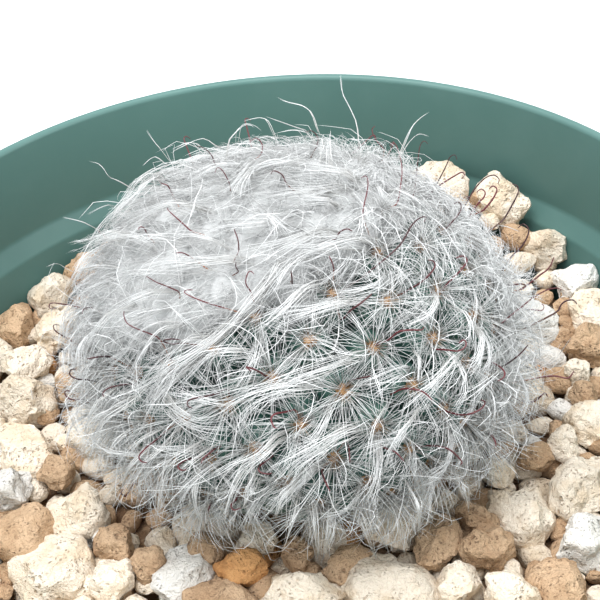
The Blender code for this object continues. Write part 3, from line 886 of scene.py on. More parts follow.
def make_areoles():
    """A small woolly pad on the tip of each tubercle."""
    pad = begin("areole_shape", bpy.ops.mesh.primitive_ico_sphere_add, subdivisions=2, radius=PAD_RADIUS)
    pad.data.transform(Matrix.Diagonal((1, 1, PAD_FLATNESS, 1)))
    displace(pad, *PAD_RELIEF)
    pad.data.shade_smooth()
    shapes = []
    for index in areole_indices():
        direction = lattice_direction(index)
        place = globe_point(direction, PAD_RISE)
        shapes.append((pad, upright_at(place, globe_normal(direction), index * 2.0), {}))
    areoles = placed_copies(shapes, "areole_pads")
    remove([pad])
    finish(areoles, areole_wool(), "areoles", "spines")


# Lines of sight: where what the photograph shows lies on the globe

AXES = np.array([TIP_RADIUS, TIP_RADIUS, TIP_HEIGHT])
CENTRE = np.array(GLOBE_CENTRE)


def unit(vectors):
    vectors = np.asarray(vectors, dtype=float)
    return vectors / np.maximum(np.linalg.norm(vectors, axis=-1, keepdims=True), 1e-12)


def smooth(value, low, high):
    share = np.clip((value - low) / (high - low), 0, 1)
    return share * share * (3 - 2 * share)


def camera_axes():
    """Position, right, up and forward of the camera."""
    back = Vector((0, -math.cos(VIEW_ELEVATION), math.sin(VIEW_ELEVATION)))
    forward = -back
    right = Vector((1, 0, 0))
    up = right.cross(forward)
    cosine, sine = math.cos(VIEW_ROLL), math.sin(VIEW_ROLL)
    return (
        VIEW_TARGET + VIEW_DISTANCE * back,
        cosine * right + sine * up,
        -sine * right + cosine * up,
        forward,
    )


def sight_line(pixel):
    """The camera's place and the way from it through a pixel, in units of the globe's radii."""
    eye, right, up, forward = camera_axes()
    focal = LENS / SENSOR * VIEW_PIXELS
    way = forward + right * ((pixel[0] - VIEW_PIXELS / 2) / focal)
    way += up * ((VIEW_PIXELS / 2 - pixel[1]) / focal)
    return (np.array(eye) - CENTRE) / AXES, np.array(way) / AXES


def seen_at(pixel, size):
    """Where a line of sight first meets the globe grown to a size, or passes it nearest."""
    start, way = sight_line(pixel)
    a, b, c = way @ way, start @ way, start @ start - size * size
    distance = (-b - math.sqrt(max(b * b - a * c, 0.0))) / a
    return CENTRE + (start + way * distance) * AXES


HAIR_EDGE = (   # where the dense hair ends against what lies behind it, in pixels
    (60, 300), (90, 235), (110, 200), (150, 170), (200, 150), (250, 138), (300, 133), (350, 137),
    (400, 150), (430, 180), (480, 230), (520, 280), (545, 330), (550, 380), (540, 430), (500, 490),
    (430, 535), (320, 563), (250, 550), (185, 540), (130, 515), (88, 472), (64, 415), (56, 367),
)
PLAIN_LOFT = 1.2        # how far out the hair ends on the hidden side
PLAIN_WEIGHT = 0.15
EDGE_FOCUS = 12         # how closely the hair keeps to the nearest places of the edge
LOW_HAIR, HIGH_HAIR = 1.05, 1.1     # sizes of the globe at which a pixel's place is looked up


def hair_edge():
    """Directions, and sizes of the globe, at which the lines of sight along the edge pass."""
    ways, sizes = [], []
    for pixel in HAIR_EDGE:
        start, way = sight_line(pixel)
        spot = start - way * (start @ way) / (way @ way)
        sizes.append(np.linalg.norm(spot))
        ways.append(spot / sizes[-1])
    return np.array(ways), np.array(sizes)


EDGE_WAYS, EDGE_SIZES = hair_edge()


def loft(directions):
    """How far out the hair ends over a place, as a multiple of the globe's size."""
    weights = np.exp(EDGE_FOCUS * (directions @ EDGE_WAYS.T - 1))
    total = weights.sum(axis=-1) + PLAIN_WEIGHT
    return (weights @ EDGE_SIZES + PLAIN_WEIGHT * PLAIN_LOFT) / total


def drawn_line(points, steps, crowding=1.0):
    """Pixels along a smooth curve through points, evenly spaced or crowded towards its end."""
    points = np.array(points, dtype=float)
    ends = np.vstack([2 * points[0] - points[1], points, 2 * points[-1] - points[-2]])
    t = np.linspace(0, 1, 9)[:, None]
    curve = []
    for a, b, c, d in zip(ends, ends[1:], ends[2:], ends[3:]):
        bend = (2 * a - 5 * b + 4 * c - d) * t ** 2 + (3 * b - a - 3 * c + d) * t ** 3
        curve.append(b + 0.5 * ((c - a) * t + bend))
    curve = np.concatenate(curve)
    reach = np.concatenate([[0], np.cumsum(np.linalg.norm(np.diff(curve, axis=0), axis=1))])
    spaced = reach[-1] * (1 - (1 - np.linspace(0, 1, steps + 1)) ** crowding)
    return np.stack([np.interp(spaced, reach, curve[:, axis]) for axis in (0, 1)], axis=1)


def drawn_path(points, steps, first, middle, last, crowding=1.0):
    """Path along a drawn line; three heights in the hair: 0 on the skin, 1 where the hair ends."""
    heights = np.interp(np.linspace(0, 1, steps + 1), (0, 0.4, 1), (first, middle, last))
    path = []
    for pixel, height in zip(drawn_line(points, steps, crowding), heights):
        depth = loft(unit((seen_at(pixel, HIGH_HAIR) - CENTRE) / AXES)) - 1
        path.append(seen_at(pixel, 1 + depth * height))
    return np.array(path)


WISPS_IN_VIEW = (   # hairs in each wisp that the photograph shows, and its course in pixels
    (40, (378, 238), (327, 245), (292, 256), (257, 294), (222, 332), (180, 364)),
    (18, (343, 271), (308, 286), (290, 304), (269, 324), (240, 345)),
    (22, (379, 304), (352, 301), (318, 309), (286, 317), (259, 327)),
    (26, (381, 355), (352, 358), (320, 368), (291, 378), (269, 391), (240, 410)),
    (26, (338, 382), (308, 387), (285, 388), (251, 398), (228, 415), (218, 429)),
    (14, (251, 350), (218, 352), (193, 365)),
    (3, (281, 256), (274, 272), (272, 285)),
    (3, (313, 336), (315, 301)),
    (5, (330, 306), (355, 301), (387, 301), (418, 296)),
    (16, (440, 281), (438, 301), (427, 317), (401, 329)),
    (20, (482, 317), (483, 342), (477, 368), (464, 377)),
    (22, (480, 345), (457, 360), (438, 380), (419, 398), (396, 421)),
    (4, (484, 377), (494, 401), (492, 429)),
    (10, (512, 401), (494, 408)),
    (5, (419, 345), (419, 387)),
    (44, (378, 433), (347, 434), (322, 447), (296, 464), (281, 482), (273, 497)),
    (26, (289, 437), (275, 440), (258, 455), (233, 471), (220, 488)),
    (3, (330, 451), (342, 461), (346, 476), (337, 492)),
    (4, (396, 405), (378, 420), (372, 442), (372, 471)),
    (30, (211, 157), (168, 164), (137, 181), (121, 204), (101, 225), (91, 244), (89, 267)),
    (22, (175, 171), (149, 181), (131, 199), (115, 212)),
    (24, (219, 204), (188, 203), (165, 204), (131, 220), (115, 227)),
    (20, (149, 236), (131, 235), (111, 236), (86, 246), (63, 258)),
    (14, (139, 226), (114, 231), (86, 239), (63, 245)),
    (6, (239, 248), (200, 236), (182, 235), (160, 244)),
    (26, (258, 254), (226, 259), (188, 262), (152, 267), (131, 281)),
    (44, (262, 150), (240, 178), (222, 200)),
    (22, (370, 175), (340, 170), (287, 163)),
    (26, (363, 177), (338, 185), (307, 190), (264, 195), (243, 200)),
    (18, (345, 199), (319, 200), (294, 198)),
    (20, (259, 210), (275, 221), (284, 239)),
    (10, (383, 182), (400, 191), (415, 199), (425, 209)),
    (10, (372, 179), (388, 200)),
    (6, (363, 213), (363, 237)),
    (30, (361, 227), (340, 225), (319, 228), (285, 242), (230, 259)),
    (24, (389, 239), (365, 237), (340, 241), (313, 250), (281, 251)),
    (32, (240, 310), (219, 334), (193, 354), (168, 369), (148, 387), (137, 393)),
    (5, (187, 320), (159, 322), (137, 333), (128, 345), (122, 357)),
    (5, (184, 322), (161, 329), (148, 343), (141, 362)),
    (8, (216, 332), (193, 336), (178, 347), (162, 368), (155, 382)),
    (30, (145, 394), (168, 406), (183, 417), (199, 424), (225, 421), (240, 412)),
    (8, (78, 415), (68, 434), (67, 447)),
    (6, (97, 434), (88, 460)),
    (9, (206, 444), (178, 457), (162, 470), (155, 491)),
    (12, (320, 150), (300, 158), (262, 166), (226, 180)),
    (14, (300, 212), (262, 222), (222, 225), (190, 238)),
    (12, (180, 285), (150, 292), (120, 306), (98, 330)),
    (12, (130, 300), (105, 318), (88, 345), (80, 372)),
    (10, (246, 400), (222, 404), (196, 398), (160, 388)),
    (10, (455, 300), (470, 322), (470, 345)),
    (10, (520, 350), (498, 372), (470, 392), (440, 402)),
    (12, (430, 410), (405, 430), (392, 455), (388, 480)),
    (5, (192, 441), (171, 461), (162, 486), (158, 522)),
    (6, (172, 441), (150, 458), (133, 476), (124, 494)),
    (4, (178, 456), (153, 469), (138, 487)),
    (6, (221, 446), (194, 461), (174, 480), (167, 505)),
    (6, (163, 428), (140, 439), (123, 459), (115, 479)),
    (5, (249, 468), (234, 489), (227, 512), (221, 532)),
    (8, (146, 371), (127, 401), (103, 419), (86, 446)),
    (5, (122, 405), (97, 416), (81, 438)),
)
HANGING_IN_VIEW = (   # hairs of each clump that hangs to a point, and its course in pixels
    (18, (258, 476), (248, 492), (242, 510)),
    (20, (302, 483), (284, 497), (274, 521)),
    (22, (309, 502), (314, 527), (319, 568)),
    (18, (335, 512), (328, 540), (321, 568)),
    (14, (356, 512), (367, 534), (377, 563)),
    (14, (370, 515), (383, 538), (388, 552)),
    (20, (196, 462), (194, 500), (206, 532)),
    (10, (160, 476), (158, 505), (155, 532)),
    (14, (412, 486), (420, 510), (418, 541)),
    (12, (456, 470), (466, 494), (470, 517)),
    (12, (300, 500), (290, 530), (283, 552)),
    (8, (136, 420), (112, 448), (104, 478)),
    (10, (112, 380), (92, 412), (80, 446)),
    (10, (150, 440), (128, 470), (118, 500)),
    (12, (328, 170), (328, 148), (331, 128)),
    (5, (324, 160), (322, 142), (325, 132)),
)
FLYAWAYS_IN_VIEW = (   # hairs of each strand that stands off the rest, and its course in pixels
    (3, (210, 148), (188, 143), (168, 152)),
    (3, (256, 139), (226, 137), (200, 139), (181, 147), (168, 155)),
    (3, (219, 153), (235, 133), (247, 124), (259, 129)),
    (2, (230, 138), (238, 129), (248, 124), (258, 129), (264, 137)),
    (2, (131, 183), (111, 178), (101, 165), (89, 161)),
    (2, (168, 156), (156, 144), (145, 129)),
    (3, (165, 155), (152, 158), (142, 166)),
    (2, (121, 203), (102, 207), (79, 220)),
    (2, (96, 227), (79, 221), (60, 217)),
    (4, (321, 124), (313, 114), (303, 106), (287, 102), (276, 97)),
    (5, (363, 142), (358, 126), (349, 106), (342, 92), (340, 73)),
    (3, (400, 154), (411, 129), (419, 119), (430, 111)),
    (3, (401, 152), (414, 137), (421, 134), (430, 137)),
    (3, (322, 135), (301, 129), (281, 122), (261, 115)),
    (3, (319, 137), (294, 130), (266, 137)),
    (3, (335, 137), (352, 139), (380, 142), (392, 159)),
    (3, (276, 128), (262, 118), (240, 122)),
    (2, (356, 150), (376, 138), (396, 148), (405, 166)),
    (2, (486, 226), (504, 226), (521, 232)),
    (2, (548, 372), (562, 350), (573, 334)),
    (2, (522, 430), (541, 437), (549, 425)),
    (2, (70, 272), (58, 264), (46, 268)),
)


# Hooked spines

HOOKS_IN_VIEW = (   # course of each hooked spine that the photograph shows, root to end, in pixels
    ((355, 283), (380, 263), (400, 245), (412, 225), (420, 218), (426, 217), (424, 222)),
    ((403, 293), (420, 283), (430, 274), (435, 266), (433, 261), (428, 260)),
    ((441, 291), (452, 279), (461, 270), (467, 261), (463, 256), (456, 258)),
    ((443, 233), (452, 222), (460, 212), (461, 205), (458, 202), (454, 204)),
    ((468, 218), (477, 205), (484, 197), (485, 192), (481, 189), (477, 192)),
    ((482, 212), (492, 200), (497, 190), (493, 186), (489, 189)),
    ((503, 221), (511, 207), (518, 193), (517, 186), (512, 184)),
    ((462, 211), (474, 190), (484, 179), (493, 175), (499, 179), (498, 184)),
    ((503, 268), (513, 255), (522, 246), (528, 235), (528, 228), (523, 224), (518, 228)),
    ((520, 290), (530, 283), (540, 275), (549, 268), (554, 257)),
    ((498, 287), (512, 285), (521, 284), (526, 286), (521, 290)),
    ((496, 328), (510, 316), (524, 305), (534, 297), (547, 290), (557, 288), (562, 290)),
    ((558, 312), (561, 305), (566, 301), (573, 300), (577, 304)),
    ((426, 200), (434, 189), (442, 174), (447, 164), (450, 157), (455, 155), (457, 160)),
    ((414, 196), (416, 178), (418, 160), (420, 146), (424, 141), (428, 144)),
    ((397, 206), (400, 190), (402, 168), (398, 150), (394, 143), (390, 146)),
    ((362, 217), (364, 205), (367, 192), (368, 182), (366, 176), (361, 178)),
    ((341, 322), (350, 311), (361, 303), (372, 294)),
    ((375, 345), (388, 340), (398, 332), (410, 330), (421, 330), (424, 327)),
    ((432, 349), (447, 350), (458, 351), (465, 347), (466, 342), (463, 340), (459, 343)),
    ((497, 370), (510, 362), (520, 354), (528, 345)),
    ((487, 360), (497, 365), (504, 371), (504, 377), (498, 381)),
    ((541, 377), (555, 376), (568, 378), (574, 371)),
    ((525, 403), (535, 401), (541, 396), (545, 393), (548, 397)),
    ((388, 396), (403, 389), (418, 390), (426, 394), (432, 400)),
    ((439, 409), (452, 413), (462, 415), (473, 413), (482, 408), (485, 402), (481, 400)),
    ((486, 432), (491, 435), (495, 441), (496, 446)),
    ((376, 443), (385, 448), (395, 452), (404, 461)),
    ((420, 446), (435, 446), (448, 449), (456, 455), (462, 462), (460, 465)),
    ((352, 380), (361, 378), (371, 376)),
    ((75, 306), (62, 304), (52, 303), (49, 306), (51, 309), (56, 308)),
    ((90, 307), (84, 309), (82, 314)),
    ((65, 337), (58, 333), (54, 329), (54, 325), (59, 325)),
    ((180, 292), (166, 286), (156, 282), (146, 276)),
    ((224, 308), (214, 305), (202, 301), (190, 296), (184, 292), (187, 290), (193, 290)),
    ((184, 343), (172, 344), (163, 341), (171, 339), (181, 340)),
    ((160, 338), (148, 333), (135, 328), (127, 323), (124, 316), (124, 311)),
    ((101, 383), (88, 380), (77, 379), (70, 375), (71, 370), (76, 369)),
    ((97, 402), (82, 400), (70, 399), (65, 394), (66, 391), (70, 391)),
    ((136, 384), (122, 385), (109, 388), (103, 393), (104, 397)),
    ((109, 356), (98, 357), (87, 359)),
    ((271, 380), (258, 371), (250, 368), (246, 367), (251, 371)),
    ((252, 293), (246, 284), (247, 275), (250, 271), (254, 274)),
    ((239, 272), (236, 267), (236, 262)),
    ((229, 388), (212, 395), (196, 398), (188, 401), (188, 406), (192, 408)),
    ((166, 431), (156, 440), (146, 448), (139, 456), (141, 461), (147, 463)),
    ((222, 444), (212, 451), (204, 458), (201, 463)),
    ((196, 458), (186, 460), (178, 466), (181, 470), (186, 470)),
    ((296, 409), (285, 412), (275, 414), (271, 419), (274, 427), (277, 428)),
    ((275, 454), (266, 461), (259, 467), (260, 472), (268, 474), (272, 473)),
    ((240, 490), (236, 500), (231, 505), (234, 510), (241, 508)),
    ((212, 501), (209, 508), (208, 511)),
    ((321, 470), (325, 481), (330, 491)),
    ((347, 438), (349, 450), (350, 462)),
    ((230, 185), (226, 176), (221, 169), (217, 168), (215, 173)),
    ((286, 184), (283, 176), (278, 172), (273, 171), (271, 174)),
    ((192, 232), (180, 221), (170, 212), (167, 208)),
    ((147, 234), (144, 228), (140, 227), (138, 230)),
    ((191, 257), (183, 253), (176, 253)),
    ((335, 240), (340, 232), (347, 229), (352, 231)),
    ((239, 252), (238, 240), (234, 229)),
    ((292, 286), (292, 279), (291, 271)),
    ((334, 269), (332, 262), (329, 256)),
    ((215, 166), (212, 156), (204, 148), (196, 146)),
    ((262, 154), (262, 144), (256, 138), (250, 142)),
    ((316, 148), (318, 138), (312, 131), (306, 132)),
    ((385, 150), (376, 140), (372, 130), (375, 126)),
    ((172, 194), (168, 186), (161, 183)),
    ((126, 497), (121, 493), (123, 489)),
)
HOOK_STEPS = 26
HOOK_RADIUS = (0.09 * MM, 0.12 * MM)
HOOK_SIDES = 6
HOOK_TAPER = 0.55
HOOK_ROOT = 0.15                    # height in the hair at the root, along the shaft and at the end
HOOK_SHAFT = 0.95
HOOK_END = 1.1
HOOK_CROWDING = 1.7                 # its points crowd towards the curl
BURIED_SHARES = (0, 0.35, 0.7)      # where its first points lie on the way from the areole into view
HIGHER_IN_WOOL = 0.45
THINNER_IN_WOOL = 0.32
HOOK_SHAPES = 4
HIDDEN_UNDER = -0.2                 # cosine between an areole's normal and the way to the camera
HOOKLESS_SHARE = 0.3
HIDDEN_HOOK_LENGTH = (5.0, 6.8)     # in mm
HIDDEN_HOOK_LEAN = 0.28
HIDDEN_HOOK_LOWEST = 74 * MM
SHAFT_STEPS = 6
SHAFT_RADIUS = 0.017                # for a shaft of unit length
CURL_STEPS = 7
CURL_THINNING = 0.6


def hook_shape(index):
    """A slender shaft of unit length along +Z, whose end curls over towards +X."""
    rng = random.Random(f"hook {index}")
    curl_radius = rng.uniform(0.06, 0.08)
    curl_turn = math.radians(rng.uniform(140, 200))
    bow = rng.uniform(-0.05, 0.05)
    hook = begin("hook_shape", bpy.ops.mesh.primitive_circle_add, vertices=HOOK_SIDES,
                 radius=SHAFT_RADIUS, fill_type="NGON")
    bpy.ops.object.mode_set(mode="EDIT")
    bpy.ops.mesh.select_all(action="SELECT")
    for step in range(SHAFT_STEPS):
        share = (step + 1) / SHAFT_STEPS
        side = bow * (math.sin(math.pi * share) - math.sin(math.pi * (share - 1 / SHAFT_STEPS)))
        bpy.ops.mesh.extrude_region_move(TRANSFORM_OT_translate={"value": (side, 0, 1 / SHAFT_STEPS)})
        bpy.ops.transform.resize(value=(0.96, 0.96, 1))
    bpy.ops.mesh.spin(steps=CURL_STEPS, angle=curl_turn, center=(curl_radius, 0, 1), axis=(0, -1, 0))
    bpy.ops.object.mode_set(mode="OBJECT")
    mesh = hook.data
    length = 1 + curl_radius * curl_turn
    along = mesh.attributes.new("along", "FLOAT", "POINT")
    curl_middle = Vector((curl_radius, 0, 1))
    for vert in mesh.vertices:
        if vert.co.z > 1.0 or vert.co.x > curl_radius:
            arm = vert.co - curl_middle
            turn = math.atan2(arm.z, -arm.x) % (2 * math.pi)
            along.data[vert.index].value = (1 + curl_radius * turn) / length
            thin = 1 - CURL_THINNING * turn / curl_turn
            spot = curl_middle + Vector((-math.cos(turn), 0, math.sin(turn))) * curl_radius
            vert.co = spot + (vert.co - spot) * thin
        else:
            along.data[vert.index].value = vert.co.z / length
    only(hook)
    bpy.ops.object.mode_set(mode="EDIT")
    bpy.ops.mesh.select_all(action="SELECT")
    bpy.ops.mesh.remove_doubles(threshold=0.0005)
    bpy.ops.mesh.normals_make_consistent(inside=False)
    bpy.ops.object.mode_set(mode="OBJECT")
    mesh.shade_smooth()
    return hook


def nearest_areole(point):
    point = Vector(point)
    return min(areole_indices(), key=lambda index: (globe_point(lattice_direction(index)) - point).length)


def make_drawn_hooks(material):
    """The hooked spines that the photograph shows, each from its areole; returns the areoles used."""
    rng = np.random.default_rng(SEED + 5)
    paths, used, matted = [], set(), []
    for points in HOOKS_IN_VIEW:
        matted.append(woolliness(unit((seen_at(points[0], LOW_HAIR) - CENTRE) / AXES)))
        root_height = HOOK_ROOT + HIGHER_IN_WOOL * matted[-1]
        steps = HOOK_STEPS - len(BURIED_SHARES)
        shown = drawn_path(points, steps, root_height, HOOK_SHAFT, HOOK_END, HOOK_CROWDING)
        index = nearest_areole(shown[0])
        used.add(index)
        root = np.array(globe_point(lattice_direction(index)))
        buried = root + (shown[0] - root) * np.array(BURIED_SHARES)[:, None]
        paths.append(np.concatenate([buried, shown]))
    paths = np.array(paths)
    paths[:, 1:5] = (paths[:, :4] + 2 * paths[:, 1:5] + paths[:, 2:6]) / 4
    radii = rng.uniform(*HOOK_RADIUS, len(paths)) * (1 - THINNER_IN_WOOL * np.array(matted))
    tones = rng.uniform(0, 1, len(paths))
    tubes(paths, radii, tones, "hooked_spines_front", material, "hooked_spines", HOOK_SIDES, HOOK_TAPER)
    return used


def make_hooks():
    """The hooked spines in view, then others by rule on the sides that the photograph hides."""
    material = hook_brown()
    used = make_drawn_hooks(material)
    rng = random.Random(SEED + 5)
    shapes = [hook_shape(index) for index in range(HOOK_SHAPES)]
    eye = camera_axes()[0]
    placed = []
    for index in areole_indices():
        direction = lattice_direction(index)
        normal = globe_normal(direction)
        root = globe_point(direction)
        hidden = normal.dot((eye - root).normalized()) < HIDDEN_UNDER
        if index in used or not hidden or rng.random() < HOOKLESS_SHARE:
            continue
        lean = Vector((rng.gauss(0, 1), rng.gauss(0, 1), rng.gauss(0, 1))) * HIDDEN_HOOK_LEAN
        way = (normal + lean).normalized()
        length = rng.uniform(*HIDDEN_HOOK_LENGTH) * MM
        if (root + way * length).z < HIDDEN_HOOK_LOWEST:
            continue
        matrix = upright_at(root, way, rng.uniform(0, 2 * math.pi)) @ Matrix.Scale(length, 4)
        placed.append((rng.choice(shapes), matrix, {"tone": rng.uniform(0, 1)}))
    hooks = placed_copies(placed, "hooked_spines_back")
    remove(shapes)
    finish(hooks, material, "hooked_spines", "spines")


# Hair

WOOLLY_SIDE = (-0.38, 0.34, 0.86)       # the side, with the crown, where the hair is matted
HAZY_SIDE = (0.75, 0.15, 0.64)          # the side where fine wool veils the stars
COMB_FOCUS = 26
DOWNHILL_SHARE = 0.8
WANDER_TURN = 0.6
HAIR_FLOOR = STONE_TOP - 0.8 * MM       # the level that hair stays above
FLOOR_SOFTNESS = 0.8 * MM
RISING = 1.7                            # how soon clinging hair reaches its height
LEAST_HEIGHT = (1.01, 0.02)             # at the root, and what the tip has more
HAIR_TAPER = 0.7
PART_LENGTH = (7.5, 12.0)               # of each hair along a wisp, in mm
DIVE_DEPTH = 1.3 * MM                   # of a wisp's hairs at their roots

# The kinds of hair. Lean is the angle from the areole's normal in degrees; length and radius are
# in mm; stray and wave say how far a hair leaves the flow and sways, and turning how soon it turns
# to the flow; tone goes from light to dark.
HairKind = namedtuple("HairKind", "lean length stray turning wave radius tone")
STARS = HairKind((50, 88), (4.8, 7.6), 0.4, (0.0, 0.2), (0.0, 0.07), (0.03, 0.055), (0.0, 1.0))
WOOL = HairKind((25, 88), (4.5, 9.0), 0.65, (0.2, 0.9), (0.1, 0.45), (0.022, 0.038), (0.1, 0.9))
TRESS = HairKind((25, 75), (8.0, 13.0), 0.3, (0.8, 1.4), (0.05, 0.3), (0.022, 0.042), (0.15, 0.9))
FUZZ = HairKind((8, 72), (4.5, 8.2), 0.6, (0.1, 0.9), (0.05, 0.5), (0.018, 0.033), (0.0, 0.6))
SINGLE = HairKind((40, 80), (6.5, 13.0), 0.9, (0.5, 1.2), (0.05, 0.35), (0.8, 1.3), (0.0, 0.25))
SINGLE_RADIUS = 0.044                   # in mm; the single hairs' own radius goes by shares of it
CURLY_RADIUS = 0.03
DRAWN_RADIUS = (0.021, 0.042)
STARS_OPEN, STARS_MATTED = 44, 18       # radial spines of an areole
WOOL_OPEN, WOOL_MATTED, WOOL_HAZY = 17, 43, 16      # hairs of an areole; more where matted, hazy
WOOL_COATS = ((0.15, 0.6), (0.45, 0.95))
TRESS_LAYERS = ((0.35, 0.7), (0.6, 0.95))
TRESS_HAIRS = (4, 18)
TRESS_SPREAD = 0.13                     # in mm, by the root of the number of hairs
DRAWN_STEPS = 24
FUZZ_OPEN, FUZZ_EDGE = 12, 96
FELT_HEIGHT = 0.34                      # share of the hair's depth
FELT_LUMPS = 0.05
FELT_SUNK = 0.78                        # its size where it lies under the skin
DRAWN_HAIR = (   # name, courses, heights, spread in mm, share of hairs, steps, darkest tone, pointed
    ("hair_wisps", WISPS_IN_VIEW, (0.55, 0.95, 0.9), 0.115, 0.86, 7, 0.62, False),
    ("hair_hanging", HANGING_IN_VIEW, (0.5, 0.9, 0.9), 0.11, 0.62, 7, 0.2, True),
    ("hair_flyaways", FLYAWAYS_IN_VIEW, (0.8, 1.2, 1.7), 0.06, 1.0, 10, 0.62, False),
)


def woolliness(directions):
    """0 where the stars of spines stand open, 1 where the hair is matted."""
    crown = smooth(directions @ unit(WOOLLY_SIDE), 0.22, 0.72)
    back = 0.55 * smooth(directions[..., 1], 0.0, 0.6)
    return np.maximum(crown, back)


def wander(directions):
    """A slow, even wander over the globe, between about -1 and 1."""
    x, y, z = directions[..., 0], directions[..., 1], directions[..., 2]
    waves = np.sin(4.1 * x + 2.3 * y + 0.6) + np.sin(3.7 * y - 3.1 * z + 1.9) + np.sin(5.3 * z + 2.9 * x)
    return waves / 3


def combed_places():
    """Directions on the globe along the drawn wisps, and the way that each wisp runs there."""
    places, ways = [], []
    for hairs, *points in WISPS_IN_VIEW:
        path = drawn_path(points, 8, 0.5, 0.9, 0.8)
        places.append(unit((path - CENTRE) / AXES))
        ways.append(unit(np.gradient(path, axis=0)))
    return np.concatenate(places), np.concatenate(ways)


COMBED_PLACES, COMBED_WAYS = combed_places()


def flow_at(directions):
    """The way that long hair lies at a place: as the drawn wisps near it do, else downhill."""
    normals = unit(directions / AXES)
    east = unit(np.cross([0.0, 0.0, 1.0], normals) + 1e-6)
    downhill = np.cross(east, normals)
    downhill = np.where(downhill[..., 2:] > 0, -downhill, downhill)
    turn = (WANDER_TURN * wander(directions))[..., None]
    downhill = downhill * np.cos(turn) + np.cross(normals, downhill) * np.sin(turn)
    weights = np.exp(COMB_FOCUS * (directions @ COMBED_PLACES.T - 1))
    flow = weights @ COMBED_WAYS + DOWNHILL_SHARE * downhill
    return unit(flow - normals * np.sum(flow * normals, axis=-1, keepdims=True))


def above_gravel(points):
    """Points lifted smoothly over the gravel where they come near it or below it."""
    x, y = points[..., 0] - HEAP_PLACE.x, points[..., 1] - HEAP_PLACE.y
    level = HAIR_FLOOR + HEAP_HEIGHT * np.exp(-(x * x + y * y) / HEAP_SPREAD ** 2)
    lift = points[..., 2] - level
    points[..., 2] = level + (lift + np.sqrt(lift * lift + FLOOR_SOFTNESS ** 2)) / 2
    return points


def grow(rng, roots, headings, lengths, strays, turning, heights, steps, waviness, clings=True):
    """Paths of hairs: they leave along their heading and turn to the flow, each with its own stray.

    heights says how high in the hair each lies: 0 on the skin, 1 where the hair ends. Hair
    that clings keeps to its height, other hair only stays under it.
    """
    count = len(roots)
    paths = np.zeros((count, steps + 1, 3))
    paths[:, 0] = roots
    side = unit(np.cross(headings, rng.normal(size=(count, 3))))
    other = np.cross(headings, side)
    phase = rng.uniform(0, 2 * np.pi, (count, 2))
    rate = rng.uniform(2.0, 6.0, (count, 2))
    for step in range(steps):
        here = unit((paths[:, step] - CENTRE) / AXES)
        share = (step + 0.5) / steps
        turn = np.clip(turning * share ** 0.8, 0, 1)[:, None]
        way = headings * (1 - turn) + unit(flow_at(here) + strays) * turn
        wave = side * np.sin(phase[:, :1] + rate[:, :1] * share)
        wave += other * np.sin(phase[:, 1:] + rate[:, 1:] * share)
        way = unit(way + wave * waviness[:, None])
        spot = paths[:, step] + way * (lengths / steps)[:, None]
        arm = (spot - CENTRE) / AXES
        size = np.linalg.norm(arm, axis=1)
        reach = (step + 1) / steps
        room = (loft(arm / size[:, None]) - 1) * heights
        if clings:
            wanted = 1 + room * min(1.0, reach * RISING)
        else:
            wanted = 1 + room * np.tanh(np.maximum(size - 1, 0) / room)
        wanted = np.maximum(wanted, LEAST_HEIGHT[0] + LEAST_HEIGHT[1] * reach)
        paths[:, step + 1] = above_gravel(CENTRE + arm * (wanted / size)[:, None] * AXES)
    return paths


def gathered(rng, guides, hairs, spread, steps, pointed=False):
    """Hairs that cling along guides: each covers part of its guide, and they fan out or close."""
    count, points, _ = guides.shape
    rows = np.repeat(np.arange(count), hairs)
    each = len(rows)
    length = np.linalg.norm(np.diff(guides, axis=1), axis=2).sum(axis=1)[rows]
    part = np.clip(rng.uniform(*PART_LENGTH, each) * MM / length, 0, rng.uniform(0.8, 1.0, each))
    first = rng.uniform(0, 1, each) * (1 - part)
    share = np.linspace(0, 1, steps + 1)
    places = (first[:, None] + part[:, None] * share) * (points - 1)
    low = np.minimum(places.astype(int), points - 2)
    rest = (places - low)[..., None]
    lines = guides[rows[:, None], low] * (1 - rest) + guides[rows[:, None], low + 1] * rest
    outs = unit((lines - CENTRE) / AXES ** 2)
    sides = unit(np.cross(np.gradient(lines, axis=1), outs))
    width = 1 - 0.85 * smooth(share, 0.1, 1.0) if pointed else 0.6 + 0.8 * smooth(share, 0.5, 1.0)
    spread = spread[rows][:, None]
    across = rng.normal(size=(each, 1)) * spread * width
    drift = rng.normal(size=(each, 1)) * 0.9 * spread * share ** 3
    ripple = np.sin(rng.uniform(0, 6.28, (each, 1)) + rng.uniform(3, 8, (each, 1)) * share)
    across = across + (0 if pointed else drift) + ripple * 0.15 * spread
    deep = rng.normal(size=(each, 1)) * spread * 0.3 * width
    dive = smooth(0.3 - share, 0.0, 0.3) * DIVE_DEPTH
    return above_gravel(lines + sides * across[..., None] + outs * (deep - dive)[..., None]), rows


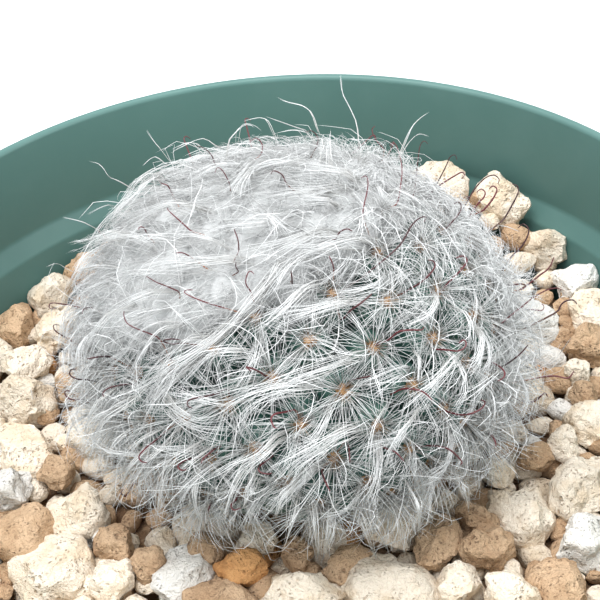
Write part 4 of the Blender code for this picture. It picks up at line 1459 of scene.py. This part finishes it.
def tubes(paths, radii, tones, name, material, slot="spines", sides=3, taper=HAIR_TAPER):
    """Tapered tubes along paths, as one piece with its along and tone values."""
    count, points, _ = paths.shape
    ways = unit(np.gradient(paths, axis=1))
    arms = unit(np.cross(ways, unit(paths - CENTRE) + 0.013))
    others = np.cross(ways, arms)
    share = np.linspace(0, 1, points)
    thinning = 1 - taper * share ** 2
    rings = np.zeros((count, points - 1, sides, 3))
    for corner in range(sides):
        angle = 2 * math.pi * corner / sides
        offset = math.cos(angle) * arms + math.sin(angle) * others
        rings[:, :, corner] = (paths + offset * (radii[:, None] * thinning)[..., None])[:, :-1]
    verts = np.concatenate([rings.reshape(count, -1, 3), paths[:, -1:, :]], axis=1)
    each = verts.shape[1]
    faces = [(0, corner + 1, corner) for corner in range(1, sides - 1)]
    for ring in range(points - 2):
        for corner in range(sides):
            here, there = ring * sides + corner, ring * sides + (corner + 1) % sides
            faces.append((here, there, there + sides))
            faces.append((here, there + sides, here + sides))
    last = (points - 2) * sides
    faces += [(last + corner, last + (corner + 1) % sides, each - 1) for corner in range(sides)]
    faces = np.array(faces)
    faces = (faces[None] + np.arange(count)[:, None, None] * each).reshape(-1, 3)
    mesh = bpy.data.meshes.new(name)
    mesh.vertices.add(count * each)
    mesh.vertices.foreach_set("co", verts.reshape(-1))
    mesh.loops.add(len(faces) * 3)
    mesh.loops.foreach_set("vertex_index", faces.reshape(-1))
    mesh.polygons.add(len(faces))
    mesh.polygons.foreach_set("loop_start", np.arange(len(faces)) * 3)
    mesh.update(calc_edges=True)
    along = np.concatenate([np.repeat(share[:-1], sides), [1.0]])
    mesh.attributes.new("along", "FLOAT", "POINT").data.foreach_set("value", np.tile(along, count))
    mesh.attributes.new("tone", "FLOAT", "POINT").data.foreach_set("value", np.repeat(tones, each))
    mesh.shade_smooth()
    piece = bpy.data.objects.new(name, mesh)
    bpy.context.scene.collection.objects.link(piece)
    finish(piece, material, slot, "spines")


def areole_frames():
    """Direction, tip, normal and two tangents of every areole, as arrays."""
    directions = np.array([lattice_direction(index) for index in areole_indices()])
    tips = CENTRE + directions * (AXES + 0.2 * MM)
    normals = unit(directions / AXES)
    easts = unit(np.cross([0.0, 0.0, 1.0], normals) + 1e-6)
    return directions, tips, normals, easts, np.cross(normals, easts)


def headings_at(rng, rows, frames, kind):
    """Random headings at areoles, between a kind's two angles from their normals."""
    normals, easts, norths = frames[2:]
    low, high = kind.lean
    turn = rng.uniform(0, 2 * np.pi, len(rows))
    lean = rng.uniform(math.radians(low), math.radians(high), len(rows))
    across = np.cos(turn)[:, None] * easts[rows] + np.sin(turn)[:, None] * norths[rows]
    return np.cos(lean)[:, None] * normals[rows] + np.sin(lean)[:, None] * across


def rows_by(counts):
    """Indices of the areoles, each as often as it has hairs."""
    return np.repeat(np.arange(len(counts)), np.round(counts).astype(int))


def draw(rng, limits, rows):
    return rng.uniform(*limits, len(rows))


def strays_at(rng, rows, kind):
    return rng.normal(size=(len(rows), 3)) * kind.stray


def kind_tubes(rng, paths, kind, name, material):
    """Tubes of a kind's own radius and tone."""
    radii = draw(rng, kind.radius, paths) * MM
    tubes(paths, radii, draw(rng, kind.tone, paths), name, material)


def make_stars(frames):
    """Straight radial spines of every areole, which stay in sight where the hair is open."""
    rng = np.random.default_rng(SEED)
    directions, tips = frames[:2]
    matted = woolliness(directions)
    rows = rows_by(STARS_OPEN - (STARS_OPEN - STARS_MATTED) * matted)
    headings = headings_at(rng, rows, frames, STARS)
    lengths = draw(rng, STARS.length, rows) * MM
    turning = draw(rng, STARS.turning, rows) + 0.4 * matted[rows]
    roots = tips[rows] + headings * 0.25 * MM
    strays = strays_at(rng, rows, STARS)
    waviness = draw(rng, STARS.wave, rows)
    heights = np.full(len(rows), 0.9)
    paths = grow(rng, roots, headings, lengths, strays, turning, heights, 3, waviness, clings=False)
    kind_tubes(rng, paths, STARS, "hair_stars", radial_white())


def make_felt():
    """The matted undercoat of the woolly side; where the stars stand open it dips under the skin."""
    felt = begin("wool_felt", bpy.ops.mesh.primitive_uv_sphere_add, segments=120, ring_count=60, radius=1)
    ways = np.zeros(len(felt.data.vertices) * 3)
    felt.data.vertices.foreach_get("co", ways)
    ways = unit(ways.reshape(-1, 3))
    x, y, z = ways.T
    ragged = np.sin(23 * x + 9 * z) + np.sin(19 * y - 13 * x + 1.0) + np.sin(31 * z + 11 * y + 2.0)
    matted = smooth(woolliness(ways) + 0.06 * ragged, 0.42, 0.75)
    lumps = np.sin(41 * x - 17 * y) + np.sin(37 * y + 29 * z + 0.7) + np.sin(47 * z - 33 * x + 1.3)
    level = 1 + (loft(ways) - 1) * (FELT_HEIGHT + FELT_LUMPS * lumps)
    level = FELT_SUNK + (level - FELT_SUNK) * matted
    places = CENTRE + ways * level[:, None] * AXES
    felt.data.vertices.foreach_set("co", places.reshape(-1))
    felt.data.shade_smooth()
    finish(felt, felted_wool_painted_shade(), "spines", "spines")


def make_wool(frames, material):
    """Fine wavy hair in two coats, thick over the woolly side and a thin veil elsewhere."""
    directions, tips = frames[:2]
    woolly = woolliness(directions)
    hazy = smooth(directions @ unit(HAZY_SIDE), 0.8, 0.97)
    for coat, heights_between in enumerate(WOOL_COATS):
        rng = np.random.default_rng(SEED + 1 + coat)
        rows = rows_by(WOOL_OPEN + WOOL_MATTED * woolly + WOOL_HAZY * hazy)
        headings = headings_at(rng, rows, frames, WOOL)
        lengths = draw(rng, WOOL.length, rows) * MM
        matted = woolly[rows]
        strays = rng.normal(size=(len(rows), 3)) * (WOOL.stray - 0.25 * matted)[:, None]
        turning = draw(rng, WOOL.turning, rows) + 0.4 * matted
        roots = tips[rows] + headings * rng.uniform(0.0, 1.6, (len(rows), 1)) * MM
        heights = draw(rng, heights_between, rows)
        waviness = draw(rng, WOOL.wave, rows) * (0.35 + 0.65 * matted)
        paths = grow(rng, roots, headings, lengths, strays, turning, heights, 4, waviness)
        kind_tubes(rng, paths, WOOL, f"wool_coat_{coat + 1}", material)


def make_tresses(frames, material):
    """Long silky hair in loose wisps by rule, over the whole globe."""
    directions, tips = frames[:2]
    behind = directions[:, 1] > 0.2
    low_down = smooth(-directions[:, 2], -0.1, 0.25)
    for layer, heights_between in enumerate(TRESS_LAYERS):
        rng = np.random.default_rng(SEED + 10 + layer)
        rows = rows_by(0.8 + 1.7 * woolliness(directions) + 0.8 * behind + 0.9 * low_down)
        headings = headings_at(rng, rows, frames, TRESS)
        lengths = draw(rng, TRESS.length, rows) * MM
        strays = strays_at(rng, rows, TRESS)
        turning = draw(rng, TRESS.turning, rows)
        roots = tips[rows] + headings * 0.2 * MM
        heights = draw(rng, heights_between, rows)
        waviness = draw(rng, TRESS.wave, rows)
        guides = grow(rng, roots, headings, lengths, strays, turning, heights, 8, waviness)
        low = low_down[rows]
        hairs = np.ceil(rng.integers(*TRESS_HAIRS, len(rows)) * (1 - 0.6 * low)).astype(int)
        spread = TRESS_SPREAD * np.sqrt(hairs) * rng.uniform(0.7, 1.5, len(rows)) * (1 + 0.5 * low) * MM
        paths, groups = gathered(rng, guides, hairs, spread, 6)
        tones = draw(rng, TRESS.tone, rows)[groups] + rng.normal(size=len(groups)) * 0.2
        radii = draw(rng, TRESS.radius, groups) * MM
        tubes(paths, radii, np.clip(tones, 0, 1), f"hair_tresses_{layer + 1}", material)


def make_fuzz(frames, material):
    """Very fine hair that stands off the globe all round, up to where the hair ends."""
    rng = np.random.default_rng(SEED + 20)
    directions, tips = frames[:2]
    facing = directions @ unit(sight_line((VIEW_PIXELS / 2, VIEW_PIXELS / 2))[0])
    edge = smooth(facing, 0.7, 0.3) * smooth(loft(directions), 1.12, 1.19)
    edge = edge * (1 - 0.8 * woolliness(directions))
    edge = np.maximum(edge, 0.4 * smooth(directions @ unit(HAZY_SIDE), 0.7, 0.92))
    rows = rows_by(FUZZ_OPEN + FUZZ_EDGE * edge)
    far = edge[rows]
    headings = headings_at(rng, rows, frames, FUZZ)
    lengths = (draw(rng, FUZZ.length, rows) + rng.uniform(0.0, 4.5, len(rows)) * far) * MM
    strays = strays_at(rng, rows, FUZZ)
    turning = draw(rng, FUZZ.turning, rows) * (1 - 0.7 * far)
    waviness = draw(rng, FUZZ.wave, rows) * (1 - 0.4 * far)
    heights = rng.uniform(0.75, 1.35, len(rows)) + 0.9 * far
    paths = grow(rng, tips[rows], headings, lengths, strays, turning, heights, 5, waviness, clings=False)
    kind_tubes(rng, paths, FUZZ, "hair_fuzz", material)


def make_singles(frames, material):
    """Long bright single hairs that lie over the rest in wide arcs, some of them curly."""
    rng = np.random.default_rng(SEED + 25)
    directions, tips = frames[:2]
    woolly = woolliness(directions)
    rows = rows_by(5 - 2 * woolly)
    curly = (rng.random(len(rows)) < 0.4) & (woolly[rows] > 0.3)
    headings = headings_at(rng, rows, frames, SINGLE)
    lengths = draw(rng, SINGLE.length, rows) * MM
    strays = strays_at(rng, rows, SINGLE)
    turning = draw(rng, SINGLE.turning, rows)
    waviness = draw(rng, SINGLE.wave, rows) + 0.5 * curly
    heights = rng.uniform(0.8, 1.05, len(rows)) + rng.uniform(0, 0.6, len(rows)) * curly
    paths = grow(rng, tips[rows], headings, lengths, strays, turning, heights, 8, waviness)
    radii = np.where(curly, CURLY_RADIUS, SINGLE_RADIUS) * draw(rng, SINGLE.radius, rows) * MM
    tubes(paths, radii, draw(rng, SINGLE.tone, rows), "hair_singles", material)


def make_drawn_hair(material):
    """The wisps, the hanging clumps and the flyaways that the photograph shows."""
    rng = np.random.default_rng(SEED + 30)
    for name, courses, heights, width, share, steps, darkest, pointed in DRAWN_HAIR:
        guides = np.array([drawn_path(points, DRAWN_STEPS, *heights) for hairs, *points in courses])
        hairs = np.array([course[0] for course in courses])
        spread = width * np.sqrt(hairs) * MM
        paths, groups = gathered(rng, guides, np.ceil(hairs * share).astype(int), spread, steps, pointed)
        radii = draw(rng, DRAWN_RADIUS, groups) * MM
        tubes(paths, radii, rng.uniform(0, darkest, len(groups)), name, material)


# Stage

FLOOR_SIZE = 4.0
FLOOR_COLOUR = (0.92, 0.92, 0.92, 1)
LIGHTS = (   # name, place in metres, size in metres, power in watts
    ("key_light", (-0.12, -0.04, 0.85), 0.6, 7.7),
    ("fill_light", (-0.68, -0.5, 0.5), 0.9, 3.8),
    ("side_light", (0.72, -0.38, 0.4), 0.8, 5.4),
)
LIT_SPOT = Vector((0, 0, 0.08))
SKY_COLOUR = (0.96, 0.975, 1.0, 1)
SKY_STRENGTH = 1.14


def make_stage():
    """A pale floor, three soft lamps and an even sky."""
    floor = begin("floor", bpy.ops.mesh.primitive_plane_add, size=FLOOR_SIZE)
    material, _, shader = new_material("studio_floor", 0.8)
    shader.inputs["Base Color"].default_value = FLOOR_COLOUR
    floor.data.materials.append(material)
    for name, place, size, power in LIGHTS:
        light = bpy.data.lights.new(name, "AREA")
        light.shape = "DISK"
        light.size = size
        light.energy = power
        lamp = bpy.data.objects.new(name, light)
        lamp.location = place
        lamp.rotation_euler = (LIT_SPOT - Vector(place)).to_track_quat("-Z", "Y").to_euler()
        bpy.context.scene.collection.objects.link(lamp)
    world = bpy.data.worlds.new("studio")
    world.use_nodes = True
    background = world.node_tree.nodes["Background"]
    background.inputs["Color"].default_value = SKY_COLOUR
    background.inputs["Strength"].default_value = SKY_STRENGTH
    bpy.context.scene.world = world


def make_camera():
    eye, right, up, forward = camera_axes()
    data = bpy.data.cameras.new("camera")
    data.lens = LENS
    data.sensor_width = SENSOR
    data.clip_start = 0.01
    data.clip_end = 10
    camera = bpy.data.objects.new("camera", data)
    camera.matrix_world = Matrix.Translation(eye) @ Matrix((right, up, -forward)).transposed().to_4x4()
    bpy.context.scene.collection.objects.link(camera)
    bpy.context.scene.camera = camera
    bpy.context.scene.view_settings.view_transform = "Standard"


def make_hair():
    frames = areole_frames()
    white = silky_hair("hair_white", srgb(206, 206, 203), srgb(235, 237, 237), 0.42)
    # the wool coats under the white hair get a greyer copy of it: painted shade of the hair that lies
    # deeper
    grey = silky_hair("hair_grey_painted_shade", srgb(176, 177, 176), srgb(210, 211, 211), 0.5)
    make_stars(frames)
    make_felt()
    make_wool(frames, grey)
    make_tresses(frames, white)
    make_fuzz(frames, white)
    make_singles(frames, white)
    make_drawn_hair(white)


make_camera()
make_stage()
make_pot()
dress_soil()
make_gravel()
make_bed()
make_stem()
make_areoles()
make_hooks()
make_hair()
